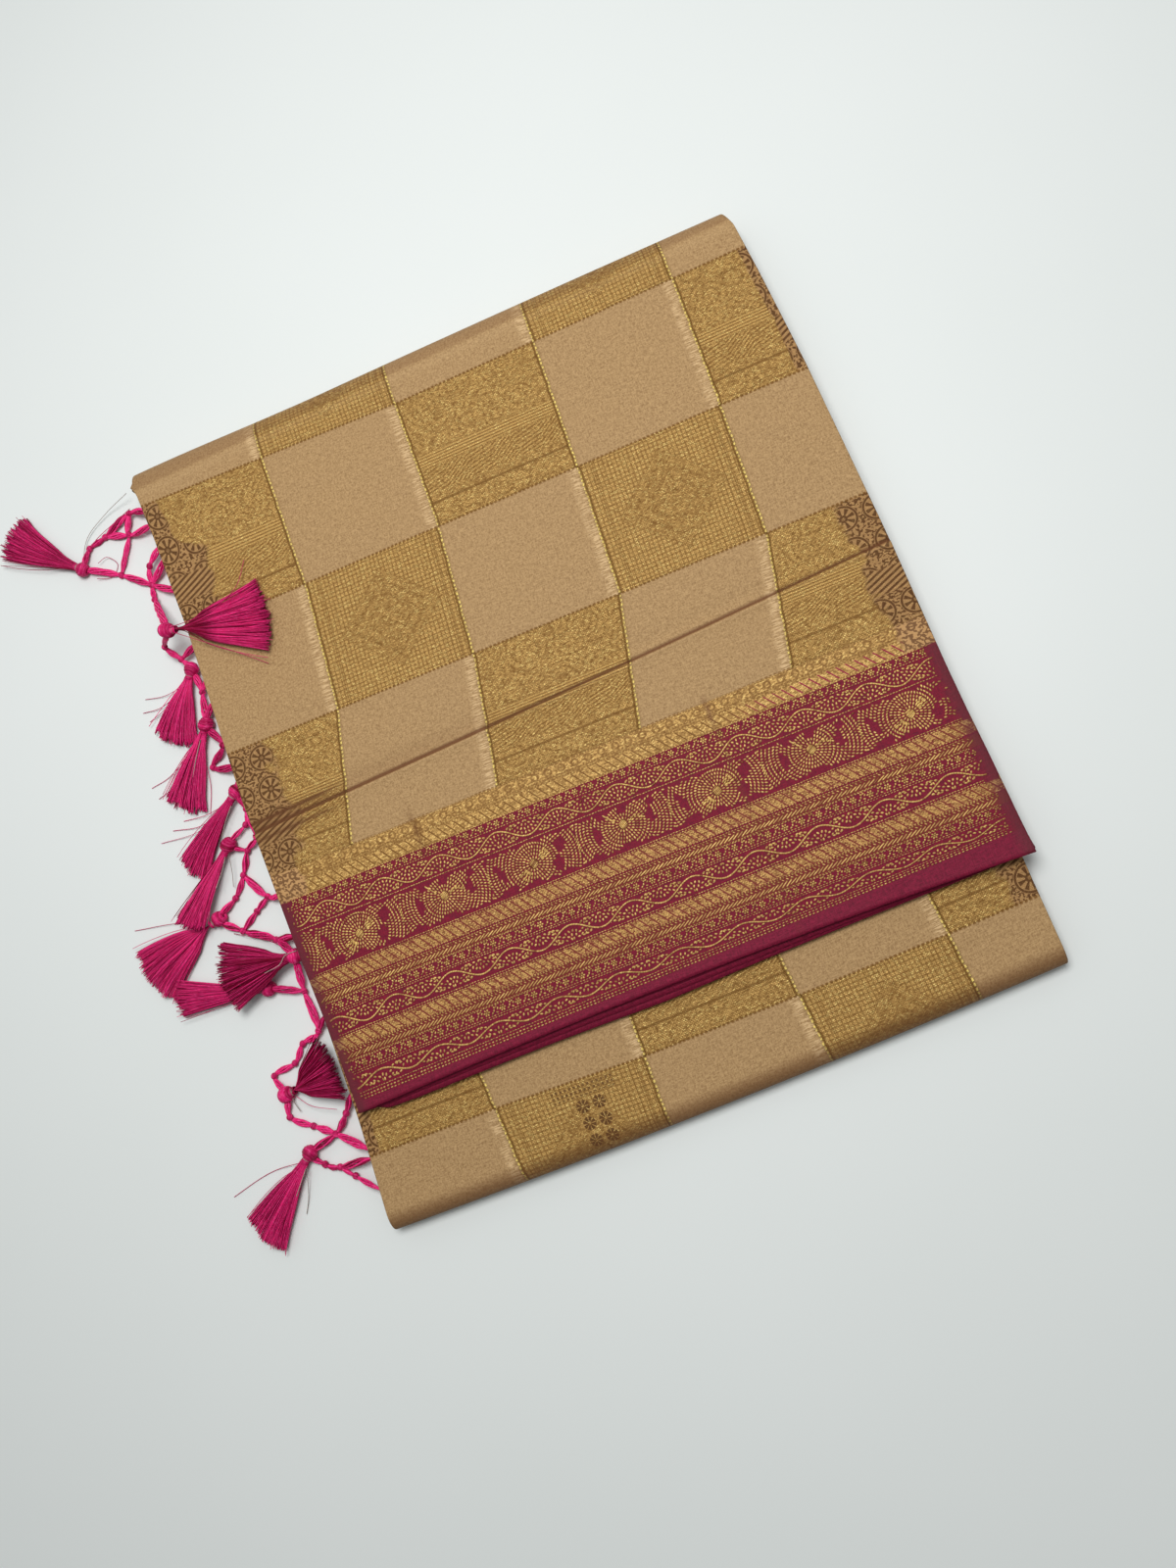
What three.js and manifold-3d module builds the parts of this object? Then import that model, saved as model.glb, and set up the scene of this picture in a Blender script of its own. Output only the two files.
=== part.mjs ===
// A silk saree folded in three like a letter and laid flat, with the knotted and tasselled
// fringe of its end piece spread out beside it. Millimetres, +Z up, +X to the right along the
// folded width and +Y away from the free border edge.
//
// The cloth is folded in a stack first, and the stack is then folded in three. So the section
// across the folds is a letter C: the flap on top with its free border edge, the upper fold,
// the base on the floor, the lower fold, and the middle stretch, which ends inside.
import * as THREE from "three";
import { mergeVertices } from "three/addons/utils/BufferGeometryUtils.js";
import Module from "manifold-3d";

const wasm = await Module();
wasm.setup();

// Thickness of what lies on what
const WALL = 1.0; // the outermost cloth
const GAP = 0.3; // air between neighbouring stretches
const STACK = 3.95; // the hidden layers of one third
const SLIT = 2.8; // room for the end piece between the base and the middle third
const LOWER = 2 * (WALL + GAP + STACK) + SLIT; // height of the two lower thirds
const HEIGHT = LOWER + GAP + STACK + GAP + WALL; // height with the flap

// The two folds are half ellipses. Reach is how far each one stands out past the flat cloth.
const UPPER_FOLD = { reach: 14, rise: HEIGHT / 2 };
const LOWER_FOLD = { reach: 10, rise: LOWER / 2 };

// Left and right edges of the flap, and of the two thirds under it, by their distance along Y
const FLAP_EDGES = [
  { y: 100, left: -188.5, right: 163 },
  { y: 86, left: -187, right: 166.8 },
  { y: 55, left: -184.3, right: 169.5 },
  { y: 0, left: -181, right: 173.4 },
  { y: -100, left: -179, right: 178 },
  { y: -180, left: -173.8, right: 180.2 },
  { y: -236, left: -169, right: 183 },
  { y: -275, left: -166.8, right: 185.5 },
];
const LOWER_EDGES = [
  { y: 100, left: -188.5, right: 163 },
  { y: 60, left: -184, right: 166 },
  { y: 0, left: -180, right: 171.5 },
  { y: -100, left: -178, right: 175 },
  { y: -200, left: -174, right: 178 },
  { y: -275, left: -171, right: 179.5 },
  { y: -336, left: -171.5, right: 181.5 },
];

// Lines that run across the cloth from left to right: y at the left end, how much the line
// climbs to the right end, and how far its middle stands above the straight line
const LIP = { left: -273.4, climb: 11, bulge: 3.7 };
const CREASE = { left: -119, climb: 20, bulge: 1.5 };
const UPPER_START = { left: 85.5, climb: -1, bulge: 1.2 };
const LOWER_START = { left: -324, climb: 19, bulge: -2.4 };
const INNER_END = { left: 78, climb: -1, bulge: 0 };

// Soft waves and the old crease in the flap
const SWELL = 0.35; // half height of the waves in the flap
const WAVES_ACROSS = 7.3; // radians of wave over the width
const WAVES_ALONG = 5.2; // and from the free edge to the fold
const WAVE_LEAN = 2.6; // how far the one runs on with the other
const FOLD_CALM = 0.2; // the last share of the flap, where the waves die out into the fold
const CREASE_SHARE = 0.44; // the share of the flap that lies before the crease
const CREASE_DEPTH = 0.55;
const CREASE_HALF_WIDTH = 4;
const CREASE_OFFSET = 0.7; // ridge and trough of the crease, off its line, in half widths
const CORNER = { lift: 1.4, across: 0.25, along: 0.25 }; // the free right corner stands up a little

// How the hidden layers show at their edges
const LAYERS = 3;
const EDGE_GROOVE = 1.3; // a groove between two folded layers
const EDGE_CROWN = 0.2; // how far a layer's own edge stays inside the wall's
const LIP_STEPS = [2.5, 6, 1.5]; // how far each layer, from the top, stands out past the lip

// The end piece between the lower thirds, and the strip that carries the fringe
const END_PIECE = 2.2; // thickness
const END_PIECE_START = 3; // its lower edge, in from where the lower fold starts
const END_PIECE_CROWN = 0.8; // how far its right edge rounds out
const PEEP = { y: 72, half: 14, reach: 1.2 }; // near the upper fold it shows at the right edge
const STRIP_WIDTH = 8;
const STRIP_INSET = 0.5;
const FRINGE_LEVEL = WALL + GAP + STACK + SLIT / 2;

// The fringe
const CORD_RADIUS = 1.1;
const CORD_SIDES = 4;
const CORD_STEP = 6.5; // length of a cord's straight stretches
const CORD_OUT = 2; // how far a cord runs level outside the cloth's edge
const CORD_IN = 2.5; // and inside it, into the strip
const SMALL_KNOT_RADIUS = 1.8;
const KNOT_LIFT = 0.45;
const CORD_LIE = CORD_RADIUS + 0.3; // centre height of a cord that lies on the floor
const HEAD_RADIUS = 3.3;
const HEAD_LIE = HEAD_RADIUS + 0.4;
const FLAP_TOP = HEIGHT + 1.5; // what lies on the flap is clear of its waves above this

// Knots of the net. The ones with a tassel are the large heads.
const KNOTS = {
  a: { x: -238.9, y: 66.9, z: HEAD_LIE, tassel: true },
  a_curl: { x: -232.4, y: 78, z: CORD_LIE },
  a_out: { x: -221.1, y: 80.7, z: CORD_LIE },
  a_up: { x: -201.5, y: 86.6, z: 4 },
  a_mid: { x: -206, y: 75.2, z: 2.5 },
  a_low: { x: -218, y: 55.1, z: CORD_LIE },
  b_loop: { x: -198.6, y: 51.5, z: 4.5 },
  b_cross: { x: -201.5, y: 41.6, z: 2.5 },
  b_knot: { x: -201.5, y: 31.9, z: 4 },
  b: { x: -190.1, y: 3.1, z: FLAP_TOP + 3.4, tassel: true },
  b_ring: { x: -201.4, y: 1.5, z: 9 },
  c_up: { x: -196, y: -7.5, z: 5 },
  c: { x: -191.9, y: -15.4, z: 5, tassel: true },
  c_below: { x: -190.2, y: -29.5, z: 4.2 },
  d: { x: -193, y: -47.8, z: 4.8, tassel: true },
  d_right: { x: -187.2, y: -62.6, z: 4.6 },
  d_low: { x: -197.9, y: -71.2, z: CORD_LIE },
  e: { x: -187.6, y: -90, z: 5, tassel: true },
  e_low: { x: -185, y: -100.8, z: 4.5 },
  e_far: { x: -184, y: -117.2, z: 4.5 },
  f_up: { x: -188.5, y: -108.6, z: 3.4 },
  f: { x: -200.9, y: -115.6, z: HEAD_LIE, tassel: true },
  f_mid: { x: -192.1, y: -122.3, z: 2.5 },
  f_low: { x: -198.8, y: -133.9, z: CORD_LIE },
  f_side: { x: -188.1, y: -150.1, z: 3 },
  g_side: { x: -197.1, y: -155.2, z: 1.8 },
  g_up: { x: -206.8, y: -144.2, z: CORD_LIE },
  g: { x: -218.5, y: -152, z: HEAD_LIE, tassel: true },
  g_low: { x: -208.1, y: -162.4, z: CORD_LIE },
  h_up: { x: -190.5, y: -173.5, z: 3.2 },
  h: { x: -180, y: -186.1, z: 9.8, tassel: true },
  i: { x: -202.6, y: -196.5, z: HEAD_LIE, tassel: true },
  i_side: { x: -183.8, y: -204.4, z: 3 },
  j_top: { x: -182.3, y: -226.7, z: 3.5 },
  j_arm: { x: -193.5, y: -230.1, z: 2 },
  j_up: { x: -201, y: -238.3, z: CORD_LIE },
  j_ring: { x: -214.2, y: -241, z: CORD_LIE },
  j: { x: -209.6, y: -252.2, z: HEAD_LIE, tassel: true },
  j_bottom: { x: -212.2, y: -263.9, z: CORD_LIE },
  j_low: { x: -201, y: -272.2, z: CORD_LIE },
  k_arm: { x: -180.7, y: -271.4, z: 4 },
  k_cross: { x: -189.8, y: -279.7, z: 2.5 },
  k: { x: -206.2, y: -284.6, z: HEAD_LIE, tassel: true },
  k_mid: { x: -200.8, y: -292.6, z: CORD_LIE },
  k_low: { x: -193.3, y: -296.3, z: 1.8 },
  k_far: { x: -186.1, y: -303, z: 2.6 },
};

// Cords of the net, each by the knots that it runs through. A number is a distance y along the
// cloth's edge, where the cord leaves the strip or ends in it.
const CORDS = [
  [81, "a_up", "a_out", "a_curl", "a"],
  ["a_up", "a_mid", 73],
  ["a_out", "a_mid"],
  ["a_mid", "a_low"],
  ["a", "a_low", "b_cross", 29.5],
  [60, "b_loop", "b_cross", "b_knot", "b", "b_ring", "c_up", "c", "c_below", "d"],
  [52, "b_cross"],
  [-3, "c_up"],
  [-23, "c_below"],
  [-37, "d", "d_right", "d_low", -78.3],
  [-84, "e", "e_low", "e_far", "f_mid", "f_low", "g_up", "g", "g_low", "h_up", "h"],
  ["e_low", "f_up", "f", "f_mid"],
  [-122, "e_far"],
  ["f_low", "f_side", -152],
  ["f_side", "g_side", "g_low"],
  [-176, "h_up"],
  ["h", "i_side", "j_top", "j_arm", "j_up", "j_ring", "j", "j_bottom", "j_low", "k_cross", -292],
  ["i", "i_side"],
  [-221, "j_top"],
  [-263, "k_arm", "k_cross", "k", "k_mid", "k_low", -297],
  ["k_low", "k_far", -313],
];

// Tassels: where each one's skirt points, in degrees round from +X, its length from the head's
// centre, its angle of spread, how far its tips turn aside, and how high its tips lie
const TASSELS = {
  a: { heading: 138.5, length: 56, spread: 29, turn: -3, tip: 1.3 },
  b: { heading: -15, length: 60, spread: 38, turn: 2, tip: FLAP_TOP + 1.6 },
  c: { heading: -128, length: 42, spread: 34, turn: 3, tip: 1.3 },
  d: { heading: -128, length: 47, spread: 30, turn: 3, tip: 1.3 },
  e: { heading: -146, length: 50, spread: 25, turn: 4, tip: 1.3 },
  f: { heading: -135, length: 47, spread: 21, turn: 2, tip: 8 },
  g: { heading: -167, length: 52, spread: 34, turn: 4, tip: 1.3 },
  h: { heading: 177, length: 44, spread: 50, turn: 0, tip: 8.6 },
  i: { heading: 167, length: 50, spread: 21, turn: 0, tip: 1.3 },
  j: { heading: 7, length: 33, spread: 50, turn: 0, tip: 9 },
  k: { heading: -141, length: 51, spread: 30, turn: 2, tip: 1.3 },
};
const SKIRT_LENGTH = 50; // of the usual skirt, which the steps in height are given for
const STRAND_ROWS = 2;
const STRANDS_ACROSS = 8; // in each of a skirt's two layers
const STRAND_ROOT = 6; // where a strand starts, inside the bell, from the head's centre
const STRAND_FILL = 0.36; // a strand's radius as a share of its step to the next one
const STRAND_STAGGER = 0.25; // how far each layer is off the middle, in steps to either side
const UNEVEN = 1.4; // how far the tips fall short of each other
const LAYER_STEP = 3.1; // height of the upper layer's tips over the lower one's
const CROWN = 1.2; // how much the middle of the upper layer stands up
const BELL_SPREAD = 32; // a skirt that spreads more than this, in degrees, has a wider bell
const BELL = [
  { radius: 0, along: 0 },
  { radius: 1.5, along: 0 },
  { radius: 1.8, along: 1.6 },
  { radius: 2.8, along: 3.6, swells: true },
  { radius: 3.2, along: 7, swells: true },
  { radius: 0, along: 8 },
]; // the wrapped neck and shoulder, along from just past the head

const SILK_TAN = { color: 0xb08a58, roughness: 0.55, metalness: 0.15 };
const SILK_MAGENTA = { color: 0x7c1238, roughness: 0.5, metalness: 0.05 };
const FRINGE_PINK = { color: 0xc2145f, roughness: 0.4, metalness: 0 };

const { lerp, degToRad } = THREE.MathUtils;

// Height y of a line across the cloth, at a share u of the way from its left end to its right
function lineY(line, u) {
  return line.left + line.climb * u + 4 * line.bulge * u * (1 - u);
}

// The left and right edges at a distance y, read from a table of rows
function edgesAt(rows, y) {
  const last = rows.length - 1;
  const found = rows.findIndex((row) => y >= row.y);
  const next = found < 0 ? last : Math.max(found, 1);
  const high = rows[next - 1];
  const low = rows[next];
  const share = THREE.MathUtils.clamp((high.y - y) / (high.y - low.y), 0, 1);
  return { left: lerp(high.left, low.left, share), right: lerp(high.right, low.right, share) };
}

function acrossX(rows, y, u, outset = 0) {
  const { left, right } = edgesAt(rows, y);
  return lerp(left - outset, right + outset, u);
}

// How far the flap's cloth stands above its flat height
function flapWave(u, t, y) {
  const off = (y - lineY(CREASE, u)) / CREASE_HALF_WIDTH;
  const ridge = Math.exp(-((off + CREASE_OFFSET) ** 2));
  const trough = Math.exp(-((off - CREASE_OFFSET) ** 2));
  const crease = CREASE_DEPTH * (1 + ridge - trough);
  const wave = Math.sin(WAVES_ACROSS * u + WAVE_LEAN * t) * Math.cos(WAVES_ALONG * t - WAVE_LEAN * u);
  const calm = Math.min(1, (1 - t) / FOLD_CALM);
  const near = Math.max(0, 1 - (1 - u) / CORNER.across) * Math.max(0, 1 - t / CORNER.along);
  return calm * (SWELL * (1 + wave) + crease) + CORNER.lift * near ** 2;
}

// The five stretches of the letter fold. Each takes a share u across, a share t along the
// stretch, and a depth in from the outside of the cloth, and gives a place.
const STRETCHES = {
  flap(u, t, depth, outset) {
    const beyond = (t - CREASE_SHARE) / (1 - CREASE_SHARE);
    const y =
      beyond < 0
        ? lerp(lineY(LIP, u), lineY(CREASE, u), t / CREASE_SHARE)
        : lerp(lineY(CREASE, u), lineY(UPPER_START, u), beyond);
    return [acrossX(FLAP_EDGES, y, u, outset), y, HEIGHT - depth + flapWave(u, t, y)];
  },
  upperFold(u, t, depth, outset) {
    const angle = Math.PI * (0.5 - t);
    const y = lineY(UPPER_START, u) + (UPPER_FOLD.reach - depth) * Math.cos(angle);
    const z = UPPER_FOLD.rise + (UPPER_FOLD.rise - depth) * Math.sin(angle);
    return [acrossX(FLAP_EDGES, y, u, outset), y, z];
  },
  base(u, t, depth, outset) {
    const y = lerp(lineY(UPPER_START, u), lineY(LOWER_START, u), t);
    return [acrossX(LOWER_EDGES, y, u, outset), y, depth];
  },
  lowerFold(u, t, depth, outset) {
    const angle = Math.PI * (t - 0.5);
    const y = lineY(LOWER_START, u) - (LOWER_FOLD.reach - depth) * Math.cos(angle);
    const z = LOWER_FOLD.rise + (LOWER_FOLD.rise - depth) * Math.sin(angle);
    return [acrossX(LOWER_EDGES, y, u, outset), y, z];
  },
  middle(u, t, depth, outset) {
    const y = lerp(lineY(LOWER_START, u), lineY(INNER_END, u), t);
    return [acrossX(LOWER_EDGES, y, u, outset), y, LOWER - depth];
  },
};

// The shares of each stretch where the cloth has a section
const even = (count, from = 0, to = 1) =>
  Array.from({ length: count }, (_, i) => lerp(from, to, i / count));
const FLAP_STEPS = [0, 0.06, 0.13, 0.2, 0.28, 0.36, 0.405, 0.43, 0.445, 0.46, 0.49, 0.56, 0.68, 0.8, 0.9];
const HIDDEN_STEPS = even(4);
const FOLD_STEPS = even(8);
const MIDDLE_STEPS = [0, 0.03, 0.08, 0.14, 0.2, 0.4, 0.7];
const ACROSS = 9; // sections across the folded width
const SEAM_SHARE = 0.45; // where the underside passes from the upper to the lower wall

function stations(parts) {
  return parts.flatMap(([stretch, steps]) => steps.map((t) => ({ stretch, t })));
}

// A closed solid from a box whose segments are moved to their places. At takes a station, a
// share across and a share through the thickness.
function foldedSolid(along, across, through, at) {
  const last = along.length - 1;
  const box = new THREE.BoxGeometry(across, last, through, across, last, through);
  const position = box.getAttribute("position");
  for (let i = 0; i < position.count; i++) {
    const u = position.getX(i) / across + 0.5;
    const station = Math.round(position.getY(i) + last / 2);
    const w = position.getZ(i) / through + 0.5;
    position.setXYZ(i, ...at(along[station], u, w, station));
  }
  box.deleteAttribute("normal");
  box.deleteAttribute("uv");
  return facingOut(mergeVertices(box, 1e-4));
}

function facingOut(geometry) {
  const solid = solidOf(geometry);
  if (solid.volume() > 0) return geometry;
  const index = geometry.getIndex();
  for (let i = 0; i < index.count; i += 3) {
    const second = index.getX(i + 1);
    index.setX(i + 1, index.getX(i + 2));
    index.setX(i + 2, second);
  }
  return geometry;
}

function solidOf(geometry) {
  const bare = new THREE.BufferGeometry().setAttribute("position", geometry.getAttribute("position"));
  bare.setIndex(geometry.getIndex());
  const merged = mergeVertices(bare, 1e-4);
  return new wasm.Manifold(
    new wasm.Mesh({
      numProp: 3,
      vertProperties: new Float32Array(merged.getAttribute("position").array),
      triVerts: new Uint32Array(merged.getIndex().array),
    }),
  );
}

function geometryOf(solid) {
  const { vertProperties, triVerts } = solid.getMesh();
  const geometry = new THREE.BufferGeometry();
  geometry.setAttribute("position", new THREE.BufferAttribute(vertProperties, 3));
  geometry.setIndex(new THREE.BufferAttribute(triVerts, 1));
  return geometry;
}

// The outermost cloth: one wall from the free border edge over the upper fold and half way
// along the underside, and one from there round the lower fold to the end inside
function upperWall() {
  const along = stations([
    ["flap", FLAP_STEPS],
    ["upperFold", FOLD_STEPS],
    ["base", [...even(2, 0, SEAM_SHARE), SEAM_SHARE]],
  ]);
  return foldedSolid(along, ACROSS, 1, ({ stretch, t }, u, w) => STRETCHES[stretch](u, t, WALL * w, 0));
}

function lowerWall() {
  const along = stations([
    ["base", even(2, SEAM_SHARE + 0.002, 1)],
    ["lowerFold", FOLD_STEPS],
    ["middle", [...MIDDLE_STEPS, 1]],
  ]);
  return foldedSolid(along, ACROSS, 1, ({ stretch, t }, u, w) => STRETCHES[stretch](u, t, WALL * w, 0));
}

// The hidden layers of all three thirds in one solid, with a groove between two layers at each
// side and a step between them at the free edge
function hiddenLayers() {
  const along = stations([
    ["flap", FLAP_STEPS],
    ["upperFold", FOLD_STEPS],
    ["base", HIDDEN_STEPS],
    ["lowerFold", FOLD_STEPS],
    ["middle", [...MIDDLE_STEPS, 1]],
  ]);
  const through = 2 * LAYERS;
  return foldedSolid(along, ACROSS, through, ({ stretch, t }, u, w, station) => {
    const level = Math.round(w * through);
    const groove = level % 2 === 0 ? EDGE_GROOVE : EDGE_CROWN;
    const [x, y, z] = STRETCHES[stretch](u, t, WALL + GAP + STACK * w, -groove);
    if (station > 0) return [x, y, z];
    const layer = Math.min(LAYERS - 1, Math.floor(level / 2));
    const step = LIP_STEPS[layer] - (level % 2 === 0 ? EDGE_GROOVE : 0);
    return [x, y - step, z];
  });
}

// The end piece lies between the two lower thirds, and its left edge is the fringe's strip
function endPieceY(u, v) {
  return lerp(lineY(LOWER_START, u) + END_PIECE_START, lineY(INNER_END, u), v);
}

function endPiece() {
  const rows = even(9).concat(1).map((v) => ({ v }));
  return foldedSolid(rows, 4, 2, ({ v }, u, w) => {
    const y = endPieceY(u, v);
    const { left, right } = edgesAt(LOWER_EDGES, y);
    const crown = w === 0.5 ? 0 : END_PIECE_CROWN;
    const peep = PEEP.reach * Math.exp(-(((y - PEEP.y) / PEEP.half) ** 2));
    const x = lerp(left + STRIP_WIDTH + GAP, right - crown + peep, u);
    return [x, y, FRINGE_LEVEL + END_PIECE * (w - 0.5)];
  });
}

function fringeStrip() {
  const rows = even(9).concat(1).map((v) => ({ v }));
  return foldedSolid(rows, 1, 1, ({ v }, u, w) => {
    const y = endPieceY(0, v);
    const { left } = edgesAt(LOWER_EDGES, y);
    const x = left + lerp(STRIP_INSET, STRIP_WIDTH, u);
    return [x, y, FRINGE_LEVEL + END_PIECE * (w - 0.5)];
  });
}

const placeOf = ({ x, y, z }) => new THREE.Vector3(x, y, z);

// The places that a cord runs through. Where it leaves the cloth it runs level for a little.
function route(stops) {
  return stops.flatMap((stop, i) => {
    if (typeof stop === "string") return [placeOf(KNOTS[stop])];
    const edge = edgesAt(LOWER_EDGES, stop).left;
    const inside = new THREE.Vector3(edge + CORD_IN, stop, FRINGE_LEVEL);
    const outside = new THREE.Vector3(edge - CORD_OUT, stop, FRINGE_LEVEL);
    return i === 0 ? [inside, outside] : [outside, inside];
  });
}

// One cord: a tube with a few sides along its route
function cord(stops) {
  const path = new THREE.CatmullRomCurve3(route(stops));
  const section = new THREE.Shape(
    Array.from({ length: CORD_SIDES }, (_, i) => {
      const angle = ((i + 0.5) / CORD_SIDES) * 2 * Math.PI;
      return new THREE.Vector2(CORD_RADIUS * Math.cos(angle), CORD_RADIUS * Math.sin(angle));
    }),
  );
  const steps = Math.max(3, Math.round(path.getLength() / CORD_STEP));
  const tube = new THREE.ExtrudeGeometry(section, { steps, extrudePath: path, bevelEnabled: false });
  return solidOf(facingOut(clean(tube)));
}

function clean(geometry) {
  geometry.deleteAttribute("normal");
  geometry.deleteAttribute("uv");
  return mergeVertices(geometry, 1e-4);
}

function ball(radius, x, y, z, around, up) {
  const sphere = new THREE.SphereGeometry(radius, around, up).rotateX(Math.PI / 2);
  return solidOf(facingOut(clean(sphere.translate(x, y, z))));
}

// The strip, the cords, the large heads and the small knots where cords meet, in one solid
function fringeNet() {
  const ends = new Set(CORDS.flatMap((stops) => [stops[0], stops.at(-1)]));
  const knots = Object.entries(KNOTS).flatMap(([name, { x, y, z, tassel }]) => {
    if (tassel) return [ball(HEAD_RADIUS, x, y, z, 6, 4)];
    return ends.has(name) ? [ball(SMALL_KNOT_RADIUS, x, y, z + KNOT_LIFT, 4, 2)] : [];
  });
  const pieces = [...CORDS.map(cord), ...knots];
  return geometryOf(pieces.reduce((whole, piece) => whole.add(piece), solidOf(fringeStrip())));
}

// A place in a tassel's skirt: a distance along from the head's centre, a bearing off the
// middle of the fan, and the height that a strand on that bearing has at its tip
function skirtPlace(name, distance, bearing, tipHeight) {
  const { x, y, z } = KNOTS[name];
  const { heading, length, turn } = TASSELS[name];
  const share = distance / length;
  const angle = degToRad(heading + turn * share * share) + bearing;
  return new THREE.Vector3(
    x + distance * Math.cos(angle),
    y + distance * Math.sin(angle),
    lerp(z, tipHeight, share),
  );
}

// One strand: a three-sided cylinder that widens from its root to its tip
function strand(name, bearing, tipHeight, step, shortBy) {
  const { length } = TASSELS[name];
  const cylinder = new THREE.CylinderGeometry(1, 1, 1, 3, STRAND_ROWS);
  const position = cylinder.getAttribute("position");
  for (let i = 0; i < position.count; i++) {
    const distance = lerp(STRAND_ROOT, length - shortBy, position.getY(i) + 0.5);
    const radius = STRAND_FILL * distance * step;
    const centre = skirtPlace(name, distance, bearing, tipHeight);
    const ahead = skirtPlace(name, distance + 1, bearing, tipHeight).sub(centre);
    const side = new THREE.Vector3(-ahead.y, ahead.x, 0).normalize();
    centre.addScaledVector(side, radius * position.getX(i));
    centre.z += radius * position.getZ(i);
    position.setXYZ(i, centre.x, centre.y, centre.z);
  }
  return solidOf(facingOut(clean(cylinder)));
}

// The wrapped neck and shoulder that hold a skirt's strands
function bell(name) {
  const { x, y, z } = KNOTS[name];
  const { heading, spread, length, tip } = TASSELS[name];
  const start = HEAD_RADIUS + GAP;
  const swell = Math.max(1, spread / BELL_SPREAD);
  const outline = BELL.map(
    ({ radius, along, swells }) => new THREE.Vector2(radius * (swells ? swell : 1), start + along),
  );
  const climb = Math.atan2(tip + LAYER_STEP / 2 - z, length);
  const lathe = new THREE.LatheGeometry(outline, 6).rotateZ(-Math.PI / 2);
  lathe.rotateY(-climb).rotateZ(degToRad(heading)).translate(x, y, z);
  return solidOf(facingOut(clean(lathe)));
}

function tassel(name) {
  const { spread, tip, length } = TASSELS[name];
  const step = degToRad(spread) / STRANDS_ACROSS;
  const pieces = [];
  for (const upper of [0, 1]) {
    for (let i = 0; i < STRANDS_ACROSS; i++) {
      const place = i - (STRANDS_ACROSS - 1) / 2 + (upper ? STRAND_STAGGER : -STRAND_STAGGER);
      const side = (2 * place) / STRANDS_ACROSS;
      const rise = upper * (LAYER_STEP * (length / SKIRT_LENGTH) + CROWN * (1 - side * side));
      const shortBy = UNEVEN * (1 + Math.sin(5 * i + 3 * upper + length));
      pieces.push(strand(name, place * step, tip + rise, step, shortBy));
    }
  }
  return geometryOf(pieces.reduce((whole, piece) => whole.add(piece), bell(name)));
}

function sheen({ color, roughness, metalness }) {
  return new THREE.MeshStandardMaterial({ color, roughness, metalness });
}

function named(name, geometry, finish) {
  const mesh = new THREE.Mesh(geometry, sheen(finish));
  mesh.name = name;
  return mesh;
}

const saree = new THREE.Group();
saree.add(
  named("flap_wall", upperWall(), SILK_TAN),
  named("lower_wall", lowerWall(), SILK_TAN),
  named("hidden_layers", hiddenLayers(), SILK_MAGENTA),
  named("end_piece", endPiece(), SILK_MAGENTA),
  named("fringe_net", fringeNet(), FRINGE_PINK),
  ...Object.keys(TASSELS).map((name) => named("tassel_" + name, tassel(name), FRINGE_PINK)),
);

// The origin is under the middle of everything, at the level that the cloth rests on
const extent = new THREE.Box3().setFromObject(saree);
const centre = extent.getCenter(new THREE.Vector3());
saree.position.set(-centre.x, -centre.y, 0);

export default saree;
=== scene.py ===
import math
import random
from types import SimpleNamespace

import bpy
import numpy as np
from mathutils import Matrix, Vector

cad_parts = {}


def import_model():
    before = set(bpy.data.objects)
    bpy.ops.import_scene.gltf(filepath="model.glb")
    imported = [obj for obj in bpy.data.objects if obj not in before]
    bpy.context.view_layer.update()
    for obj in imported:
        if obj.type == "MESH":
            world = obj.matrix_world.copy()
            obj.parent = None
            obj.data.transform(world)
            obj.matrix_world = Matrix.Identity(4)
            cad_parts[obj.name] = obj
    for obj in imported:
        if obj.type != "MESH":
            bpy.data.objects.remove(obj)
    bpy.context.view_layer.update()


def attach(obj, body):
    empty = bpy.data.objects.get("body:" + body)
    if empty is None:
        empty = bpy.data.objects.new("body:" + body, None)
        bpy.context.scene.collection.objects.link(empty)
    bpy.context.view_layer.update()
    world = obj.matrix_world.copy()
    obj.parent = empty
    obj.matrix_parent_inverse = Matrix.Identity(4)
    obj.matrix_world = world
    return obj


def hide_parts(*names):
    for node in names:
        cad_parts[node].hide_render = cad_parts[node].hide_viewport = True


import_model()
rng = np.random.default_rng(7)
dice = random.Random(11)

# The photograph's view. The turns bring the frame's axes to the camera's.
CAMERA_PLACE = (0.141136, -0.147016, 0.589)
CAMERA_TURNS = (-9.826978, -8.947295, 21.034313)
CAMERA_LENS = 27
SHIFT = np.array([51.026, 109.844, 0.0])  # from the cloth's own millimetres to the frame

# The letter fold, in millimetres, as in the CAD model
WALL, GAP, STACK, SLIT = 1.0, 0.3, 3.95, 2.8
LOWER = 2 * (WALL + GAP + STACK) + SLIT
HEIGHT = LOWER + GAP + STACK + GAP + WALL
UPPER_REACH, LOWER_REACH = 14, 10
LIP = (-273.4, 11, 3.7)
CREASE = (-119, 20, 1.5)
PRESSED = (-119.3, 19.3, -0.8)  # the sharp line pressed beside that fold
UPPER_START = (85.5, -1, 1.2)
LOWER_START = (-324, 19, -2.4)
INNER_END = (78, -1, 0)
CREASE_SHARE = 0.44
SEAM_SHARE = 0.45
FRINGE_LEVEL = WALL + GAP + STACK + SLIT / 2
FLAP_TOP = HEIGHT + 1.5
FLAP_EDGES = [
    (-275, -166.8, 185.5),
    (-236, -169, 183),
    (-180, -173.8, 180.2),
    (-100, -179, 178),
    (0, -181, 173.4),
    (55, -184.3, 169.5),
    (86, -187.2, 166.8),
    (89.5, -188.2, 165.8),
    (92, -190.2, 165.1),
    (94.6, -188.6, 164.4),
    (103, -188.4, 162.4),
]
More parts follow.
